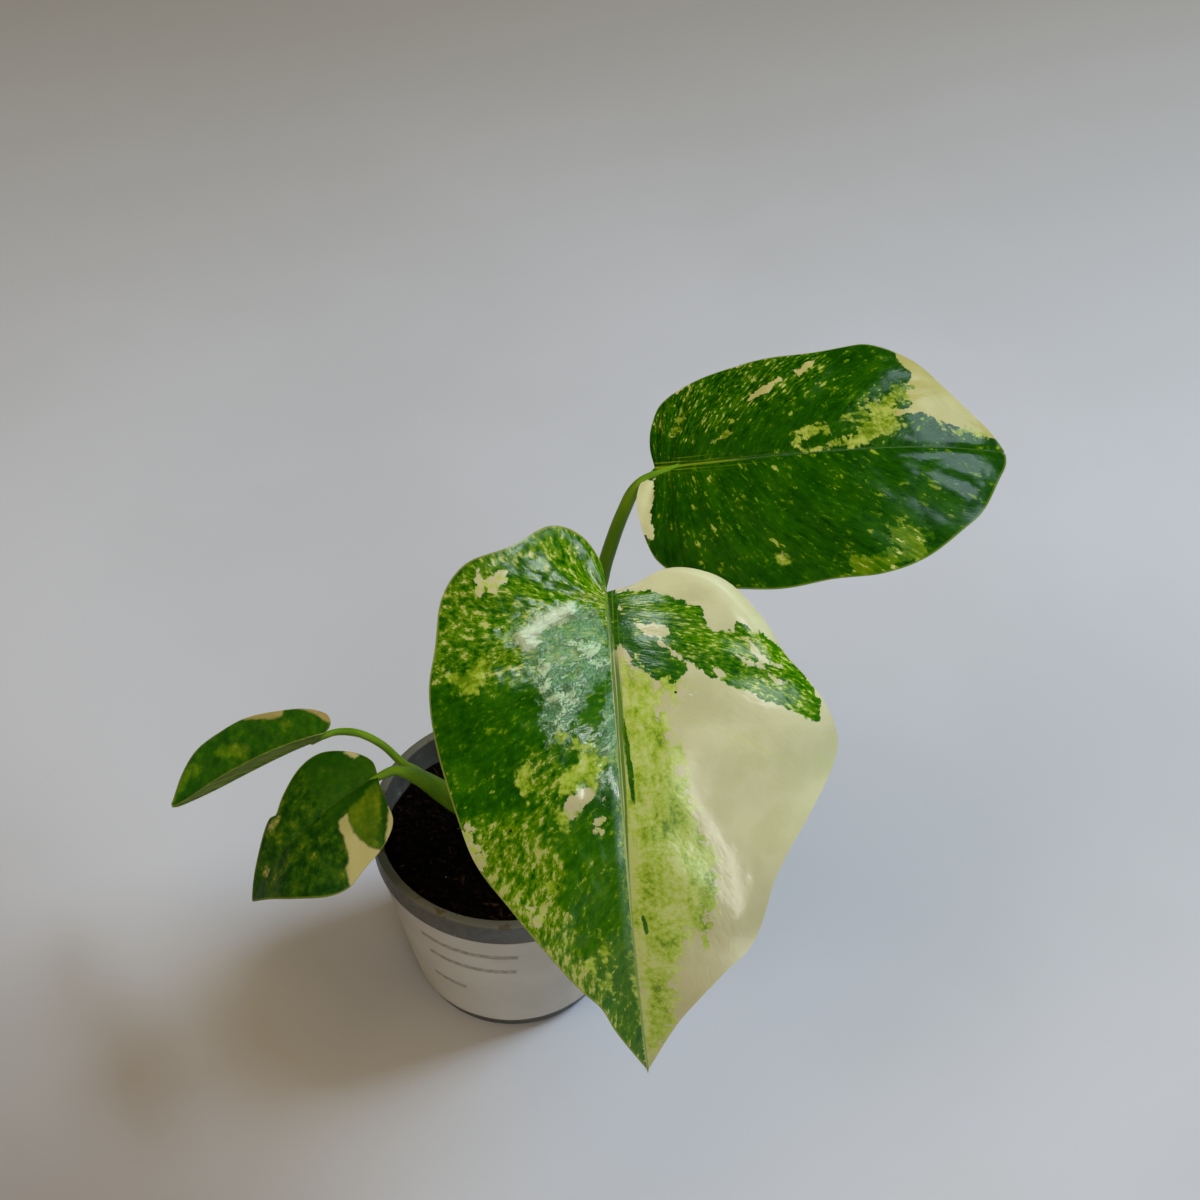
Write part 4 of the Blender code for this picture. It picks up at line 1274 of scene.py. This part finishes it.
def sheet_grid(columns, rows):
    """Faces of a sheet of points set out column by column, and its edge lines."""
    step = rows + 1
    last = columns * step
    faces, edge = [], []
    for corner in range(0, last, step):
        for first in range(corner, corner + rows):
            faces.append((first, first + step, first + step + 1, first + 1))
        edge += [(corner + step, corner), (corner + rows, corner + step + rows)]
    for row in range(rows):
        edge += [(row, row + 1), (last + row + 1, last + row)]
    return faces, edge


def label_material():
    """Matt paper with fibres, a little soiling and three plain ruled lines, greyer than white paper as
    painted shade.
    """
    paint = Paint("label_paper")
    place = paint.vector("wrap_place")
    fibre = paint.noise(place, 2.2, 5.0, 0.65)
    cloud = paint.noise(place, 0.09, 3.0)
    wobble = paint.noise(place, 0.9, 3.0)
    # The paper tints carry painted shade over the whole wrap.
    colour = paint.fade(*PAPER_WITH_SHADE, cloud, 0.3, 0.7)
    colour = paint.fade(colour, PAPER_FIBRES, fibre, 0.6, 0.75, top=0.25)
    around, height = paint.part(place, 0), paint.part(place, 1)
    ink = 0.0
    for level, start_deg, end_deg in RULED_LINES:
        start, end = math.radians(start_deg) * BASE_RADIUS, math.radians(end_deg) * BASE_RADIUS
        line = paint.blend(abs(height - level), 0.5 * RULE_THICK + 0.25, 0.5 * RULE_THICK - 0.4)
        line *= paint.blend(around, start, start + 0.4) * paint.blend(around, end + 0.4, end)
        ink = paint.maths("MAXIMUM", ink, line)
    ink *= paint.blend(wobble, 0.3, 0.65, floor=0.35, top=0.7)
    paint.bump(fibre, 0.06)
    return paint.finish(paint.mix(ink, colour, RULE_INK), 0.72, specular=0.3)


def make_soil(material):
    """The soil's lumpy top and its side down to the pot's floor."""
    low = FLOOR + 0.3
    side_low = low + 1.2
    verts = circle(body_radius(low) - WALL - 1.4, low, SOIL_SIDES)
    verts += circle(body_radius(side_low) - WALL - SOIL_GAP, side_low, SOIL_SIDES)
    top_radius = body_radius(SOIL_TOP) - WALL - SOIL_GAP
    for step in range(SOIL_RINGS, 0, -1):
        share = step / SOIL_RINGS
        for x, y, _ in circle(top_radius * share, 0.0, SOIL_SIDES):
            verts.append((x, y, soil_height(x, y, share)))
    middle = len(verts)
    last = middle - SOIL_SIDES
    verts.append((0.0, 0.0, soil_height(0.0, 0.0, 0.0)))
    faces = [tuple(range(SOIL_SIDES))[::-1]] + ring_walls(SOIL_RINGS + 2, SOIL_SIDES)
    for side in range(SOIL_SIDES):
        faces.append((last + side, last + (side + 1) % SOIL_SIDES, middle))
    add_piece("soil_bed", verts, faces, material, "soil")


def soil_height(x, y, edge):
    """Height of the soil's top, calmer toward its edge, where edge is 1."""
    lumps = noise.noise(Vector((x, y, 3.0)) / 5.5)
    fine = noise.noise(Vector((x, y, 9.0)) / 2.1)
    crumb = noise.turbulence(Vector((x, y, 4.0)) / 1.4, 4, True)
    return SOIL_TOP + (0.9 * lumps + 0.35 * fine) * (1.0 - 0.6 * edge) + 0.55 * (crumb - 0.6)


def crumb_shape(generator):
    """Vertices of one rough crumb of soil or bark, about one across."""
    bm = bmesh.new()
    bmesh.ops.create_icosphere(bm, subdivisions=1, radius=0.5)
    for vert in bm.verts:
        vert.co *= generator.uniform(*GRAIN_ROUGHNESS)
    verts = np.array([vert.co[:] for vert in bm.verts])
    faces = [tuple(vert.index for vert in face.verts) for face in bm.faces]
    bm.free()
    return verts, faces


def scatter(name, material, seed, count, sizes, stretch):
    """Loose grains on the soil, as one mesh: each turned its own way and part sunk."""
    generator = random.Random(seed)
    verts, faces, shades = [], [], []
    reach = body_radius(SOIL_TOP) - WALL - GRAIN_INSET
    for _ in range(count):
        radius, angle = reach * math.sqrt(generator.random()), generator.uniform(0, 2 * math.pi)
        x, y = radius * math.cos(angle), radius * math.sin(angle)
        if math.hypot(x - STEM_X, y - STEM_Y) < STEM_CLEARANCE:
            continue
        size = generator.uniform(*sizes)
        grain, sides = crumb_shape(generator)
        grain = grain * size * np.array([generator.uniform(*axis) for axis in stretch])
        turn, tilt = generator.uniform(0, 2 * math.pi), generator.uniform(-GRAIN_TILT, GRAIN_TILT)
        grain = grain @ np.array(Euler((tilt, 0.0, turn)).to_matrix()).T
        grain += (x, y, soil_height(x, y, radius / reach) + GRAIN_LIFT * size)
        faces += [tuple(len(verts) + index for index in side) for side in sides]
        verts += grain.tolist()
        shades += [generator.random()] * len(grain)
    add_piece(name, verts, faces, material, "soil", {"shade": shades})


def soil_material():
    """Dark peat, with a few paler fibres."""
    paint = Paint("soil_peat")
    place = paint.object_place()
    coarse = paint.noise(place, 420.0, 4.0, 0.65)
    fine = paint.noise(place, 1700.0, 3.0, 0.6)
    colour = paint.fade(*PEAT, coarse, 0.4, 0.65)
    colour = paint.fade(colour, PEAT_FIBRES, fine, 0.62, 0.75, top=0.4)
    paint.bump(coarse + fine * 0.5, 0.5)
    return paint.finish(colour, 0.95, specular=0.05)


def grain_material(name, dark, light):
    """Rough grains, each of its own shade."""
    paint = Paint(name)
    rough = paint.noise(paint.object_place(), 1300.0, 4.0, 0.65)
    colour = paint.mix(paint.value("shade"), dark, light)
    colour = paint.fade(colour, dark, rough, 0.4, 0.65, top=0.5)
    paint.bump(rough, 0.3)
    return paint.finish(colour, 0.9, specular=0.08)


# Floor, light and camera


def make_floor():
    """A wide pale sheet that the pot stands on, a little darker and warmer toward its far edge and near
    left: painted shade and a painted shadow.
    """
    half = SHEET_HALF
    corners = [(-half, -half, 0), (half, -half, 0), (half, half, 0), (-half, half, 0)]
    mesh = make_mesh("floor", corners, [(0, 1, 2, 3)])
    paint = Paint("floor_sheet")
    place = paint.object_place()
    cloud = paint.noise(place, 5.0, 4.0, 0.55)
    across, ahead = paint.part(place, 0), paint.part(place, 1)
    # Painted shade toward the far edge, and a painted shadow at the near left.
    far = paint.blend(ahead + across * -0.08, 0.12, 0.6)
    near = paint.blend(across * 0.8 + ahead, -0.02, -0.22, top=0.8)
    colour = paint.fade(*SHEET_GREYS, cloud, 0.4, 0.6)
    colour = paint.mix(far, colour, SHEET_FAR_SHADE)
    colour = paint.mix(near, colour, SHEET_NEAR_SHADOW)
    mesh.materials.append(paint.finish(colour, 0.9, specular=0.1))
    floor = link_object("floor", mesh)


def add_lamp(name, for_gloss, azimuth, elevation, distance, size, power, colour, roll):
    """A soft lamp that looks at the plant and lights either its gloss or its plain colour."""
    lamp = bpy.data.lights.new(name, "AREA")
    lamp.shape = "RECTANGLE"
    lamp.size, lamp.size_y = size
    lamp.energy = power
    lamp.color = colour
    lamp_object = link_object(name, lamp)
    az, el = math.radians(azimuth), math.radians(elevation)
    way = Vector((math.sin(az) * math.cos(el), math.cos(az) * math.cos(el), math.sin(el)))
    lamp_object.location = Vector(LAMP_TARGET) + distance * way
    turn = Quaternion((0, 0, 1), math.radians(roll))
    lamp_object.rotation_euler = ((-way).to_track_quat("-Z", "Y") @ turn).to_euler()
    lamp_object.visible_camera = False
    lamp_object.visible_glossy = for_gloss
    lamp_object.visible_diffuse = not for_gloss


def make_world():
    """A dim warm room, which the camera itself sees as a pale studio wall."""
    world = bpy.data.worlds.new("studio")
    world.use_nodes = True
    tree = world.node_tree
    sight = tree.nodes.new("ShaderNodeLightPath")
    mix = tree.nodes.new("ShaderNodeMix")
    mix.data_type = "RGBA"
    mix.inputs[6].default_value = (*ROOM_LIGHT, 1.0)
    mix.inputs[7].default_value = (*WALL_SEEN, 1.0)
    tree.links.new(sight.outputs["Is Camera Ray"], mix.inputs[0])
    tree.links.new(mix.outputs[2], tree.nodes["Background"].inputs["Color"])
    bpy.context.scene.world = world
    world.cycles_visibility.glossy = False


def make_camera():
    camera = bpy.data.cameras.new("camera")
    camera.lens = CAMERA_LENS
    camera.sensor_width = CAMERA_SENSOR
    camera.clip_start = 0.01
    camera_object = link_object("camera", camera)
    camera_object.location = CAMERA_PLACE
    camera_object.rotation_euler = (math.radians(CAMERA_TILT_DEG), 0, 0)
    bpy.context.scene.camera = camera_object


def main():
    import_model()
    stalk_green = stalk_material()
    for name in BLADES:
        make_blade(name, leaf_material(name))
        make_stalk(name, stalk_green)
    make_stem(stem_material())
    make_pot(pot_material())
    make_label(label_material())
    make_soil(soil_material())
    for name, (material, dark, light, *draws) in GRAINS.items():
        scatter(name, grain_material(material, dark, light), *draws)
    make_floor()
    for lamps, for_gloss in ((COLOUR_LAMPS, False), (GLOSS_LAMPS, True)):
        for name, facts in lamps.items():
            add_lamp(name, for_gloss, *facts)
    make_world()
    make_camera()
    bpy.context.scene.view_settings.view_transform = "Standard"


main()
